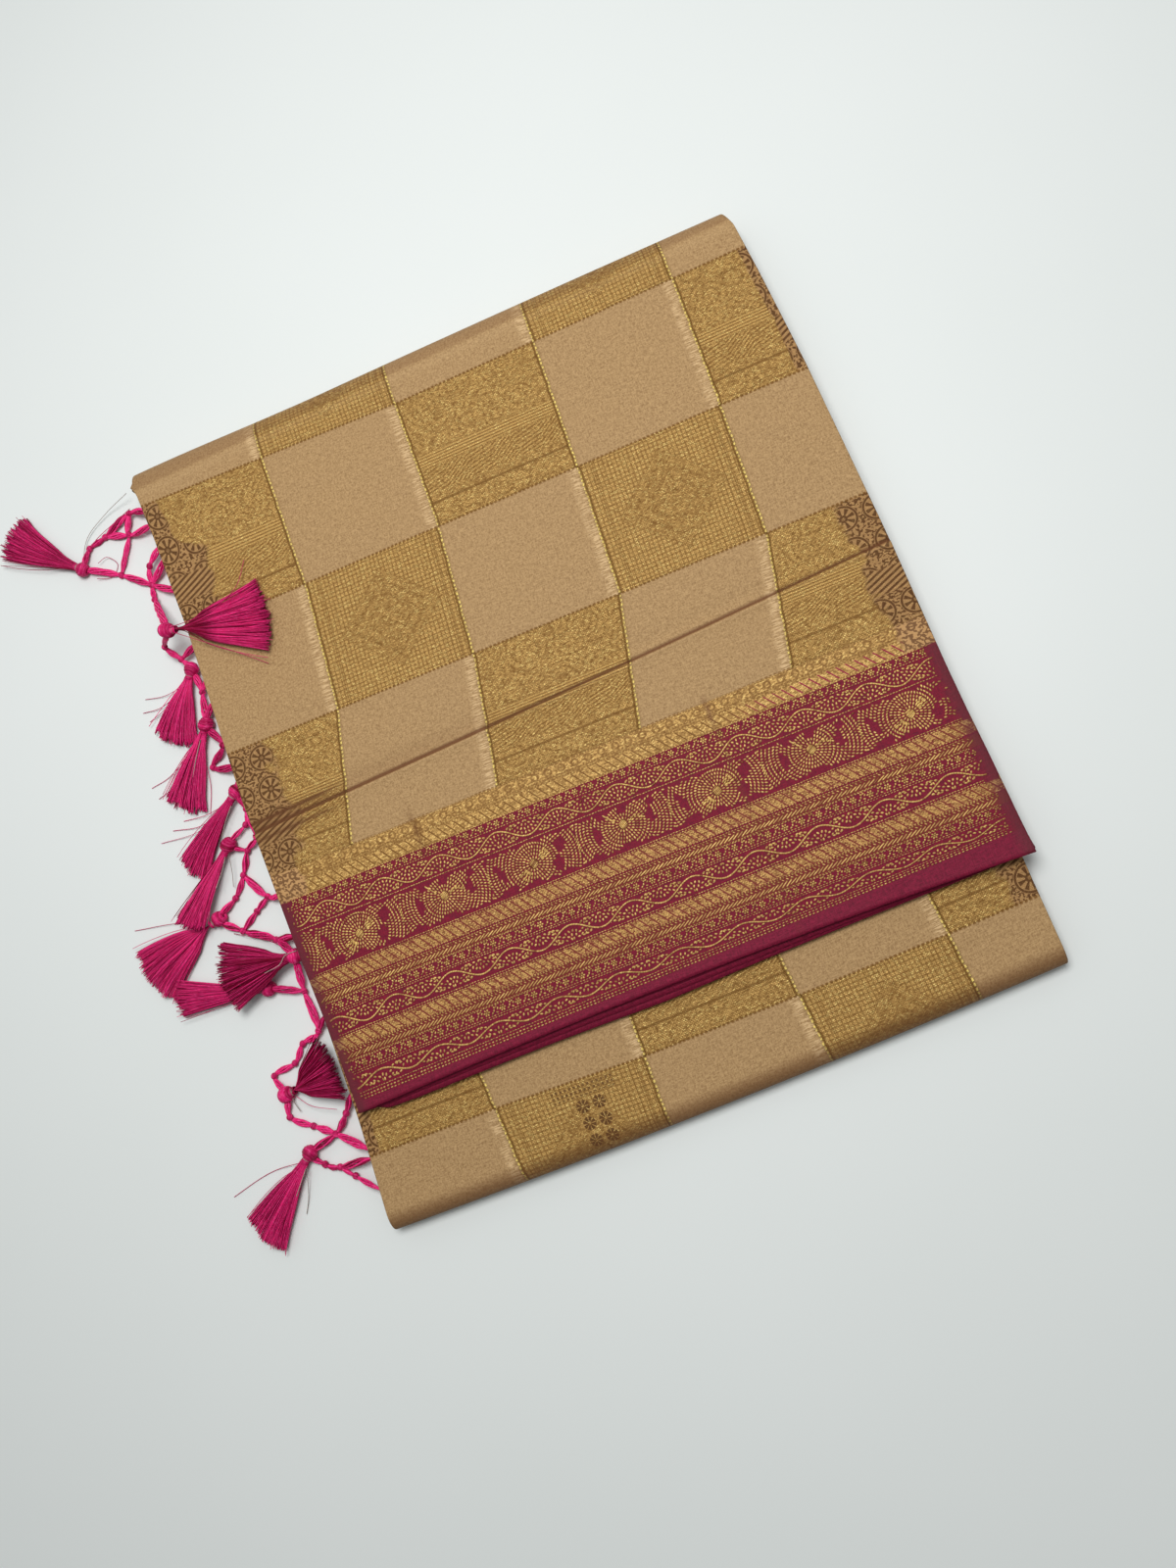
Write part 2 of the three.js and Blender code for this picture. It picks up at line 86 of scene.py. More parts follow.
LOWER_EDGES = [
    (-336, -171.5, 181.5),
    (-275, -171, 179.5),
    (-200, -174, 178),
    (-100, -178, 175),
    (0, -180, 171.5),
    (60, -184, 166),
    (100, -188.5, 163),
]

# Where the woven check lines cross the cloth: distance from the free edge, then four columns
FLAP_COLUMNS = [
    (125, -128, -45.3, 33, 112.5),
    (195, -113, -34.4, 47, 125),
    (266, -109, -30, 49, 127),
    (339, -111, -31, 50, 128),
]
FLAP_ROWS = [(125.3, 3), (194, 2), (265.3, 1), (339.5, 0), (412, -1), (774, -6)]
# The woven bands run by W, the distance from this line at x = 0, and turn slightly across it
WEAVE_LINE = -267.35
WEAVE_TURN = [
    (0, 0.0525),
    (8.7, 0.05),
    (14.5, 0.041),
    (25, 0.031),
    (44, 0.028),
    (60, 0.0235),
    (82, 0.02),
    (100, 0.0165),
    (125, 0.011),
    (195, 0),
    (340, 0),
]
LOWER_COLUMNS = [(-330, -97, -19.5, 64.5, 139.5), (-265, -103, -21, 57.5, 133)]
LOWER_ROW_LINE = [(-171, -295.6), (-100, -293), (-21, -292.5), (59, -289), (134, -284.7), (180, -281.6)]
COLUMN_WIDTH, ROW_HEIGHT = 80, 72.5

# The woven bands between the free edge and the checks, by W
HEM_END = 7.9
HERRINGBONES = ((25.0, 30.8), (55.4, 61.2))
ROPES = ((31.4, 37.2), (62.4, 69.2))
BORDER_END = 110.4
BAND_END = 125.2
BAR_PITCH = 4.65  # of the slanting bars in the ropes and in the band of gold on gold


def smooth(x):
    x = np.clip(x, 0, 1)
    return x * x * (3 - 2 * x)


def bump(x):
    return np.exp(-(x**2))


def line_y(line, u):
    left, climb, bulge = line
    return left + climb * u + 4 * bulge * u * (1 - u)


def read_off(table, key, column=1):
    """What a table gives in a column for keys in its first column, or between two of them."""
    table = np.array(table, float)
    return np.interp(key, table[:, 0], table[:, column])


def edges_at(rows, y):
    return read_off(rows, y), read_off(rows, y, 2)


def weave_turn(w):
    return read_off(WEAVE_TURN, w)


def left_rise(x, w):
    """The top rows climb towards the left side."""
    return 0.042 * np.maximum(0, -30 - x) * smooth((w - 285) / 50)


def weave_at(x, y):
    w = y - WEAVE_LINE
    for _ in range(4):
        w = y - WEAVE_LINE - weave_turn(w) * x - left_rise(x, w)
    return w


def soft_crease_shade(x, y):
    """Painted shade in the two soft creases of the border: two soft dark lines along the cloth."""
    right = bump((x - 67.5 - 0.035 * (-143 - y)) / 1.4) * smooth((-136 - y) / 4) * smooth((y + 268) / 20)
    left = bump((x + 92.5 - 0.1 * (-148 - y)) / 1.8) * bump((y + 150) / 11)
    return right * (0.35 + 0.65 * bump((y + 147) / 9)) + 0.9 * left


# Small creases on the flap and on the third below it: start and end, half width, depth
FLAP_CREASES = [
    ((66, -143), (72, -266), 2.6, 0.35),
    ((-93, -139), (-90, -162), 2.2, 0.5),
    ((-150, -118), (-172, -120), 3.0, 0.3),
    ((-60, 60), (-56, -20), 5.0, 0.22),
    ((92, 84), (86, 10), 6.0, 0.2),
    ((10, -40), (14, -100), 7.0, 0.2),
    ((-140, 40), (-70, 52), 5.0, 0.2),
    ((110, -20), (165, -30), 5.0, 0.22),
    ((-150, -60), (-95, -78), 6.0, 0.22),
    ((-186, 64), (-150, 66), 4.0, 0.35),
    ((-120, -262), (-104, -215), 4.0, 0.2),
    ((20, -268), (24, -232), 4.0, 0.2),
    ((120, -262), (130, -225), 4.0, 0.25),
]
MIDDLE_CREASES = [
    ((-60, -312), (-40, -282), 4.0, 0.25),
    ((100, -300), (150, -290), 4.0, 0.25),
    ((-150, -300), (-120, -318), 4.0, 0.25),
    ((10, -300), (16, -275), 4.0, 0.2),
]


def creases(x, y, table):
    depth = np.zeros_like(x)
    for (x0, y0), (x1, y1), half, deep in table:
        long = math.hypot(x1 - x0, y1 - y0)
        along = ((x - x0) * (x1 - x0) + (y - y0) * (y1 - y0)) / long**2
        off = ((x - x0) * (y1 - y0) - (y - y0) * (x1 - x0)) / long / half
        ends = smooth((along + 0.12) / 0.25) * smooth((1.12 - along) / 0.25)
        depth += deep * ends * (bump(off + 0.6) - bump(off - 0.6))
    return depth


def ripple(x, y):
    """The slight unevenness of silk that has been folded and pressed, in millimetres."""
    broad = np.sin(x / 23 + 0.7 * np.sin(y / 31)) * np.sin(y / 27 + 0.9 * np.sin(x / 41))
    fine = np.sin(x / 7.3 + 1.3 * np.sin(y / 11)) * np.sin(y / 8.9 + 1.1 * np.sin(x / 13))
    return 0.14 * broad + 0.05 * fine


def flap_height(u, t, x, y):
    off = (y - line_y(CREASE, u)) / 4
    soft = 0.55 * (1 + bump(off + 0.7) - bump(off - 0.7))
    sharp = (y - line_y(PRESSED, u)) / 1.1
    fold = 0.3 * bump(sharp + 0.9) - 0.8 * bump(sharp - 0.6)
    wave = np.sin(7.3 * u + 2.6 * t) * np.cos(5.2 * t - 2.6 * u)
    calm = np.minimum(1, (1 - t) / 0.2)
    near = np.maximum(0, 1 - (1 - u) / 0.25) * np.maximum(0, 1 - t / 0.25)
    small = creases(x, y, FLAP_CREASES) + ripple(x, y) * calm
    return calm * (0.35 * (1 + wave) + soft + fold) + 1.4 * near**2 + small


def across(rows, y, s, inset):
    left, right = edges_at(rows, y)
    return left + (right - left) * s + inset


def stretch(name, s, inset, t, depth):
    """A place on one stretch of the letter fold, as in the CAD model, in the cloth's millimetres."""
    if name == "flap":
        beyond = (t - CREASE_SHARE) / (1 - CREASE_SHARE)
        lip, crease, start = line_y(LIP, s), line_y(CREASE, s), line_y(UPPER_START, s)
        y = np.where(beyond < 0, lip + (crease - lip) * t / CREASE_SHARE, crease + (start - crease) * beyond)
        x = across(FLAP_EDGES, y, s, inset)
        return x, y, HEIGHT - depth + flap_height(s, t, x, y)
    if name == "upper":
        angle = math.pi * (0.5 - t)
        reach = UPPER_REACH + 3 * (1 - smooth(s / 0.35))
        y = line_y(UPPER_START, s) + (reach - depth) * np.cos(angle)
        return across(FLAP_EDGES, y, s, inset), y, HEIGHT / 2 + (HEIGHT / 2 - depth) * np.sin(angle)
    if name == "base":
        y = line_y(UPPER_START, s) + (line_y(LOWER_START, s) - line_y(UPPER_START, s)) * t
        return across(LOWER_EDGES, y, s, inset), y, depth
    if name == "lower":
        angle = math.pi * (t - 0.5)
        y = line_y(LOWER_START, s) - (LOWER_REACH - depth) * np.cos(angle)
        return across(LOWER_EDGES, y, s, inset), y, LOWER / 2 + (LOWER / 2 - depth) * np.sin(angle)
    y = line_y(LOWER_START, s) + (line_y(INNER_END, s) - line_y(LOWER_START, s)) * t
    x = across(LOWER_EDGES, y, s, inset)
    lift = smooth(t / 0.05) * (ripple(x + 90, y) + creases(x, y, MIDDLE_CREASES))
    return x, y, LOWER - depth + lift


def world(x, y, z):
    return (np.stack([x, y, z], axis=-1) + SHIFT) / 1000


# Meshes


def make(name, points, faces, maps=None, values=None, material=None):
    mesh = bpy.data.meshes.new(name)
    mesh.from_pydata(np.asarray(points).tolist(), [], faces)
    corners = np.empty(len(mesh.loops), dtype=int)
    mesh.loops.foreach_get("vertex_index", corners)
    for map_name, places in (maps or {}).items():
        layer = mesh.uv_layers.new(name=map_name)
        layer.data.foreach_set("uv", np.asarray(places, float)[corners].ravel())
    for value_name, numbers in (values or {}).items():
        kept = mesh.attributes.new(value_name, "FLOAT", "POINT")
        kept.data.foreach_set("value", np.asarray(numbers, float).ravel())
    mesh.polygons.foreach_set("use_smooth", [True] * len(mesh.polygons))
    if material:
        mesh.materials.append(material)
    made = bpy.data.objects.new(name, mesh)
    bpy.context.collection.objects.link(made)
    return made


def grid_faces(rows, columns, start=0, closed=False):
    r = np.arange(rows - 1)[:, None] * columns
    c = np.arange(columns if closed else columns - 1)[None, :]
    following = (c + 1) % columns
    quads = np.stack([r + c, r + following, r + columns + following, r + columns + c], axis=-1)
    return (quads.reshape(-1, 4) + start).tolist()


def pairs(first, second):
    return np.stack(np.broadcast_arrays(first, second), axis=-1).reshape(-1, 2)


def spread_map(flat):
    """Places on a flat map, spread over nearly the whole square."""
    low, high = flat.min(axis=0), flat.max(axis=0)
    return (flat - low) / (high - low) * 0.98 + 0.01


def run_length(places, axis=0):
    """How far each place is along its row of places, or down its column."""
    steps = np.linalg.norm(np.diff(places, axis=axis), axis=-1)
    return np.insert(np.cumsum(steps, axis=axis), 0, 0, axis=axis)


def cloth_piece(name, rows, maps, values, material, thickness):
    """A cloth through rows of places, thickened inwards."""
    places = world(*np.moveaxis(rows, -1, 0)).reshape(-1, 3)
    piece = make(name, places, grid_faces(*rows.shape[:2]), maps, values, material)
    shell = piece.modifiers.new("Cloth thickness", "SOLIDIFY")
    shell.thickness = thickness / 1000
    shell.offset = -1
    shell.use_rim = True
    return piece


# Materials: arithmetic on node sockets


def srgb(red, green, blue):
    def linear(value):
        value /= 255
        return value / 12.92 if value <= 0.04045 else ((value + 0.055) / 1.055) ** 2.4

    return (linear(red), linear(green), linear(blue), 1)


def join(tree, value, socket):
    if isinstance(value, Number):
        tree.links.new(value.socket, socket)
    elif isinstance(value, bpy.types.NodeSocket):
        tree.links.new(value, socket)
    else:
        socket.default_value = value


class Number:
    """A number that a material works out at each point, from Math nodes."""

    def __init__(self, tree, socket):
        self.tree, self.socket = tree, socket

    def use(self, operation, *values):
        node = self.tree.nodes.new("ShaderNodeMath")
        node.operation = operation
        for value, socket in zip(values, node.inputs):
            join(self.tree, value, socket)
        return Number(self.tree, node.outputs[0])

    def __add__(self, other):
        return self.use("ADD", self, other)

    def __sub__(self, other):
        return self.use("SUBTRACT", self, other)

    def __rsub__(self, other):
        return self.use("SUBTRACT", other, self)

    def __mul__(self, other):
        return self.use("MULTIPLY", self, other)

    def __truediv__(self, other):
        return self.use("DIVIDE", self, other)

    __radd__, __rmul__ = __add__, __mul__

    def fract(self):
        return self.use("FRACT", self)

    def floor(self):
        return self.use("FLOOR", self)

    def size(self):
        return self.use("ABSOLUTE", self)

    def sin(self):
        return self.use("SINE", self)

    def most(self, other):
        return self.use("MAXIMUM", self, other)

    def least(self, other):
        return self.use("MINIMUM", self, other)

    def step(self, low, high):
        """0 below low, 1 above high and smooth between them; the other way round if low is the higher."""
        node = self.tree.nodes.new("ShaderNodeMapRange")
        node.interpolation_type = "SMOOTHSTEP"
        turned = low > high
        join(self.tree, self, node.inputs["Value"])
        node.inputs["From Min"].default_value = min(low, high)
        node.inputs["From Max"].default_value = max(low, high)
        node.inputs["To Min"].default_value = 1 if turned else 0
        node.inputs["To Max"].default_value = 0 if turned else 1
        return Number(self.tree, node.outputs["Result"])

    def near(self, centre, half, soft):
        """1 within half of centre, and 0 beyond soft more."""
        return (self - centre).size().step(half + soft, half)

    def within(self, low, high, soft=0.3):
        return self.near((low + high) / 2, (high - low) / 2 - soft / 2, soft)

    def wave(self, pitch):
        """From 0 to 1 and back once in each pitch."""
        return (self * (2 * math.pi / pitch)).sin() * 0.5 + 0.5


# A Mix node has several sockets of each name, one for each data type
def mix(tree, share, first, second):
    node = tree.nodes.new("ShaderNodeMix")
    node.data_type = "RGBA"
    join(tree, share, node.inputs[0])
    join(tree, first, node.inputs[6])
    join(tree, second, node.inputs[7])
    return node.outputs[2]


def vector(tree, x, y, z=0.0):
    node = tree.nodes.new("ShaderNodeCombineXYZ")
    for value, socket in zip((x, y, z), node.inputs):
        join(tree, value, socket)
    return node.outputs[0]


def noise(tree, place, scale, detail=2.0, rough=0.5):
    node = tree.nodes.new("ShaderNodeTexNoise")
    node.inputs["Scale"].default_value = scale
    node.inputs["Detail"].default_value = detail
    node.inputs["Roughness"].default_value = rough
    join(tree, place, node.inputs["Vector"])
    return Number(tree, node.outputs["Fac"])


def cell_distance(tree, place):
    """The distance to the nearest of many scattered points."""
    node = tree.nodes.new("ShaderNodeTexVoronoi")
    node.inputs["Scale"].default_value = 1.0
    join(tree, place, node.inputs["Vector"])
    return Number(tree, node.outputs["Distance"])


def woven(tree, x, y, long, tall):
    """Short floats laid like bricks: a random number for each, and 1 on its middle, 0 in the gaps."""
    line = y / tall
    along = x / long + line.floor() * 0.5
    node = tree.nodes.new("ShaderNodeTexWhiteNoise")
    node.noise_dimensions = "2D"
    join(tree, vector(tree, along.floor(), line.floor()), node.inputs["Vector"])
    body = (along.fract() - 0.5).size().step(0.5, 0.3) * (line.fract() - 0.5).size().step(0.5, 0.28)
    return Number(tree, node.outputs["Value"]), body


def map_numbers(tree, name):
    """The two coordinates of a UV map, as numbers."""
    node = tree.nodes.new("ShaderNodeUVMap")
    node.uv_map = name
    split = tree.nodes.new("ShaderNodeSeparateXYZ")
    tree.links.new(node.outputs[0], split.inputs[0])
    return Number(tree, split.outputs[0]), Number(tree, split.outputs[1])


def cloth_millimetres(tree):
    x, v = map_numbers(tree, "cloth")
    return x * 1000, v * 1000


def kept_value(tree, name):
    node = tree.nodes.new("ShaderNodeAttribute")
    node.attribute_name = name
    return Number(tree, node.outputs["Fac"])


def new_material(name):
    material = bpy.data.materials.new(name)
    material.use_nodes = True
    return material, material.node_tree, material.node_tree.nodes["Principled BSDF"]


def add_bump(tree, shader, height, depth, strength=1.0):
    node = tree.nodes.new("ShaderNodeBump")
    node.inputs["Strength"].default_value = strength
    node.inputs["Distance"].default_value = depth
    join(tree, height, node.inputs["Height"])
    tree.links.new(node.outputs["Normal"], shader.inputs["Normal"])


TAN_LIGHT = srgb(191, 156, 110)
TAN = srgb(172, 137, 93)
TAN_DARK = srgb(130, 97, 60)
FRAYED_AND_HIGHLIGHT = srgb(216, 182, 136)
GOLD = srgb(219, 175, 103)
GOLD_GLINT = srgb(252, 222, 140)
THREAD = srgb(244, 212, 118)
GOLD_SHADE = srgb(120, 80, 30)
BROWN = srgb(92, 56, 28)
CLAY = srgb(188, 144, 94)
CREASE_SHADE = srgb(104, 62, 34)
MAGENTA = srgb(140, 24, 58)
MAGENTA_DEEP = srgb(92, 10, 36)
BORDER_RED = srgb(142, 16, 46)
CRIMSON_GOLD = srgb(118, 46, 34)
EDGE_SHADE = srgb(92, 40, 46)
FLOAT_LENGTH, FLOAT_WIDTH = 1.35, 0.68  # of the floats in the brocade
MESH_PITCH, STAR_PITCH = 2.3, 8.6
LOWER_START_V = 700  # where v starts on the lower cloth, so that its cells can be told from the flap's


def hypotenuse(x, y):
    square = x * x + y * y
    return square.use("SQRT", square)


def mix_numbers(first, second, share):
    return first + (second - first) * share


def from_middle(number, pitch):
    """How far a number is past the middle of its pitch."""
    return (number / pitch).fract() * pitch - pitch / 2


def silk_points(tree):
    """What the weave has at each point. The map "checks" counts columns and rows of the check, and
    "cloth" gives metres across and along, here turned to millimetres x and v."""
    column, row = map_numbers(tree, "checks")
    x, v = cloth_millimetres(tree)
    place = vector(tree, x, v)
    wander = noise(tree, place, 0.2, 2)
    own, body = woven(tree, x + wander * 3, v + wander * 2.4, FLOAT_LENGTH, FLOAT_WIDTH)
    leaning = vector(tree, (x + v * 0.5) * 0.62 + wander, (v - x * 0.35) * 1.25, 7.0)
    return SimpleNamespace(
        column=column,
        row=row,
        x=x,
        v=v,
        place=place,
        wander=wander,
        own=own,
        body=body,
        across=column.fract() * COLUMN_WIDTH,
        down=row.fract() * ROW_HEIGHT,
        fleck=own.step(0.0, 0.8) * 0.85 + 0.1,
        painted_glint=own.step(0.82, 0.88) * body,
        sparkle=noise(tree, place, 0.95, 2, 0.75),
        dash=noise(tree, leaning, 1.0, 1, 0.5).step(0.47, 0.41),
        leaves=noise(tree, vector(tree, x * 0.42, v * 0.5, 3.0), 1.0, 2, 0.6).step(0.42, 0.5),
        warp=noise(tree, vector(tree, x * 2.4, v * 0.3), 1.0, 2),
        weft=noise(tree, vector(tree, x * 0.3, v * 2.4, 5.0), 1.0, 2),
        speck=noise(tree, place, 0.85, 3, 0.65),
        bar_line=(((x + v * 0.8) / BAR_PITCH).fract() - 0.5).size().step(0.13, 0.06),
    )


def first_brocade(tree, c):
    """Florets, fine lines and a herringbone down the cell: its gold, its dark lines and two zones."""
    rings = (cell_distance(tree, vector(tree, c.x * 0.062, c.v * 0.07, 4.0)) * 15.5).wave(2.9)
    fine, zigzag = c.down.within(33.5, 40.5, 1), c.down.within(41.5, 55, 2)
    herring = (c.across * 0.5 + c.down * 1.15 + from_middle(c.across, 27).size() * 0.25).wave(2.3)
    gold = c.fleck * 0.55 + rings.step(0.1, 0.5) * 0.25 + c.leaves * 0.2
    gold = mix_numbers(gold, herring.step(0.2, 0.7) * 0.5 + c.fleck * 0.5, zigzag)
    gold = mix_numbers(gold, c.down.wave(1.6).step(0.15, 0.6) * 0.75 + c.fleck * 0.3, fine)
    dark = c.down.near(60.0, 0.4, 0.5)
    dots = c.x.wave(1.5).step(0.1, 0.6)
    for line, strong in ((8.6, 0.75), (33.2, 0.55), (41.2, 0.65), (56.6, 0.4), (70.4, 0.75)):
        dark = dark.most(c.down.near(line, 0.15, 0.4) * dots * strong)
    return gold, dark, fine, zigzag


def second_brocade(tree, c):
    """A mesh round a rhombus with stars: its gold, its dark lines, the rhombus and the stars."""
    uneven = noise(tree, c.place, 0.35, 2)
    upright = 1 - c.across.wave(MESH_PITCH).step(0.45, 0.1) * (0.3 + uneven * 0.9)
    level = 1 - c.down.wave(MESH_PITCH).step(0.45, 0.1) * (1.2 - uneven * 0.9)
    rhombus = (c.across - 42).size() / 30 + (c.down - 36).size() / 28
    inner = rhombus.step(1.0, 0.97)
    inside = c.fleck * 0.5 + rhombus.wave(0.27).step(0.1, 0.5) * 0.16
    gold = mix_numbers(upright * level * 0.72 + c.fleck * 0.36, inside, inner) + inner * c.leaves * 0.25
    star_x, star_y = from_middle(c.across - 38, STAR_PITCH), from_middle(c.down, STAR_PITCH)
    reach = hypotenuse(star_x, star_y)
    petals = (reach.use("ARCTAN2", star_y, star_x) * 4).sin().size().step(0.3, 0.55)
    star = reach.within(0.7, 3.3, 0.4) * petals
    dark = (rhombus.near(1.0, 0.008, 0.02) * 0.4).most(star * inner * 0.3)
    for line, strong in ((7.6, 0.7), (12.4, 0.25), (67.0, 0.25), (70.6, 0.55), (74.4, 0.8)):
        dark = dark.most(c.across.near(line, 0.2, 0.4) * strong)
    return gold, dark, inner, star


def side_marks(c, leaves, zigzag):
    """What the brocade's pattern shows in the painted shade near the side folds, 0 on dark: rosettes among
    leaves, and strokes.
    """
    rosette_x, rosette_y = from_middle(c.x, 17), (c.down / 18.1).fract() * 18.1 - 9
    reach = hypotenuse(rosette_x, rosette_y)
    spokes = (reach.use("ARCTAN2", rosette_y, rosette_x) * 8).sin().step(-0.3, 0.3)
    flower = mix_numbers(spokes, 1 - reach.near(6.6, 0.35, 0.4), reach.step(5.4, 5.9))
    flower = flower * (1 - reach.near(1.5, 0.4, 0.3))
    marks = mix_numbers(leaves, flower, reach.step(7.6, 7.2))
    return mix_numbers(marks, (c.x * 0.45 + c.down).wave(2.9).step(0.3, 0.6), zigzag)


def brocade_cells(tree, c, patch, side_leaves):
    """The two brocades by turns down the cloth; on the patch near a side fold, painted shade turns the gold
    to dark marks on clay.
    """
    second = (c.row.floor() * 0.5).fract() * 2
    first = 1 - second
    gold_a, dark_a, fine, zigzag = first_brocade(tree, c)
    gold_b, dark_b, inner, star = second_brocade(tree, c)
    gold = mix_numbers(gold_a, gold_b, second) * (0.52 + c.body * 0.5)
    quiet = fine * first + (1 - inner) * second * 0.5
    dark = mix_numbers(dark_a, dark_b, second).most(c.dash * (0.8 - quiet * 0.6))
    colour = mix(tree, gold * 0.95 + c.sparkle.step(0.35, 0.65) * 0.1, GOLD_SHADE, GOLD)
    # painted highlights: glints on some floats
    colour = mix(tree, c.painted_glint * gold * 0.5, colour, GOLD_GLINT)
    colour = mix(tree, dark * 0.75, colour, GOLD_SHADE)

    # one cell of the lower fold has its stars and its dotted rows in brown
    one_cell = c.v.step(LOWER_START_V - 10, LOWER_START_V) * c.x.step(-12, -18) * second
    starred = star * c.across.within(38.4, 54.8, 0.8) * c.down.within(8.6, 34.4, 1.5)
    laced = c.across.wave(2.4).step(0.3, 0.6) * c.down.wave(2.4).step(0.3, 0.6)
    laced = laced * c.across.within(29, 62, 2) * c.down.within(1.5, 8, 1)
    colour = mix(tree, starred.most(laced * 0.9) * one_cell * 0.85, colour, BROWN)

    marks = side_marks(c, side_leaves, zigzag * first)
    # painted shade near a side fold: the pattern in brown on clay in place of gold
    shaded = mix(tree, marks * (0.72 + c.own * 0.3), BROWN, CLAY)
    return mix(tree, patch * (0.75 + c.sparkle * 0.3), colour, shaded), gold


def gold_band(tree, c, patch, side_leaves):
    """Gold on gold between the border and the checks: slanting bars, and beads above them."""
    bars = c.bar_line * c.v.within(111.3, 117.0, 0.6)
    beads = hypotenuse(from_middle(c.x, 7.3), c.v - 122).near(1.7, 0.3, 0.4)
    beads = beads * c.v.within(119.6, 124.4, 0.3)
    lines = c.v.near(111, 0.2, 0.35)
    for line, half in ((117.6, 0.25), (119.3, 0.25), (124.7, 0.2)):
        lines = lines.most(c.v.near(line, half, 0.35))
    lines = lines * c.x.wave(1.5).step(0.05, 0.5)
    colour = mix(tree, c.fleck * (0.6 + c.body * 0.4) * 0.75 + 0.18, GOLD_SHADE, GOLD)
    # painted highlights: glints on some floats
    colour = mix(tree, c.painted_glint * 0.4, colour, GOLD_GLINT)
    colour = mix(tree, c.dash * 0.7, colour, GOLD_SHADE)
    red_right = (c.x + noise(tree, c.place, 0.05, 2) * 60).step(105, 145)
    colour = mix(tree, bars, colour, mix(tree, red_right, GOLD_SHADE, MAGENTA))
    colour = mix(tree, beads.most(lines) * 0.7, colour, GOLD_SHADE)
    colour = mix(tree, c.v.within(117.6, 119.3, 0.3) * 0.35, colour, GOLD_SHADE)
    # near the side folds the band is painted shade: brown bars and beads on clay
    shaded = mix(tree, beads.most(bars).most(1 - side_leaves) * 0.8, CLAY, BROWN)
    return mix(tree, patch, colour, shaded)


def border_ground(tree, c, rope):
    """The magenta under the border's floats, its plain hem, and gold under the ropes."""
    threads = (c.warp + c.weft) * 0.5
    hem = mix(tree, threads.step(0.3, 0.7), MAGENTA_DEEP, MAGENTA)
    ground = mix(tree, threads.step(0.3, 0.75), MAGENTA_DEEP, BORDER_RED)
    ground = mix(tree, c.v.step(HEM_END + 0.3, HEM_END - 0.3), ground, hem)
    ground = mix(tree, in_bands(c.v, HERRINGBONES) * 0.7, ground, CRIMSON_GOLD)
    rope_gold = mix(tree, c.fleck * (0.45 + c.body * 0.45) - c.dash * 0.35, CRIMSON_GOLD, GOLD)
    return mix(tree, rope, ground, mix(tree, c.bar_line, rope_gold, CRIMSON_GOLD))


def in_bands(v, bands):
    (low, high), (next_low, next_high) = bands
    return v.within(low, high, 0.4).most(v.within(next_low, next_high, 0.4))


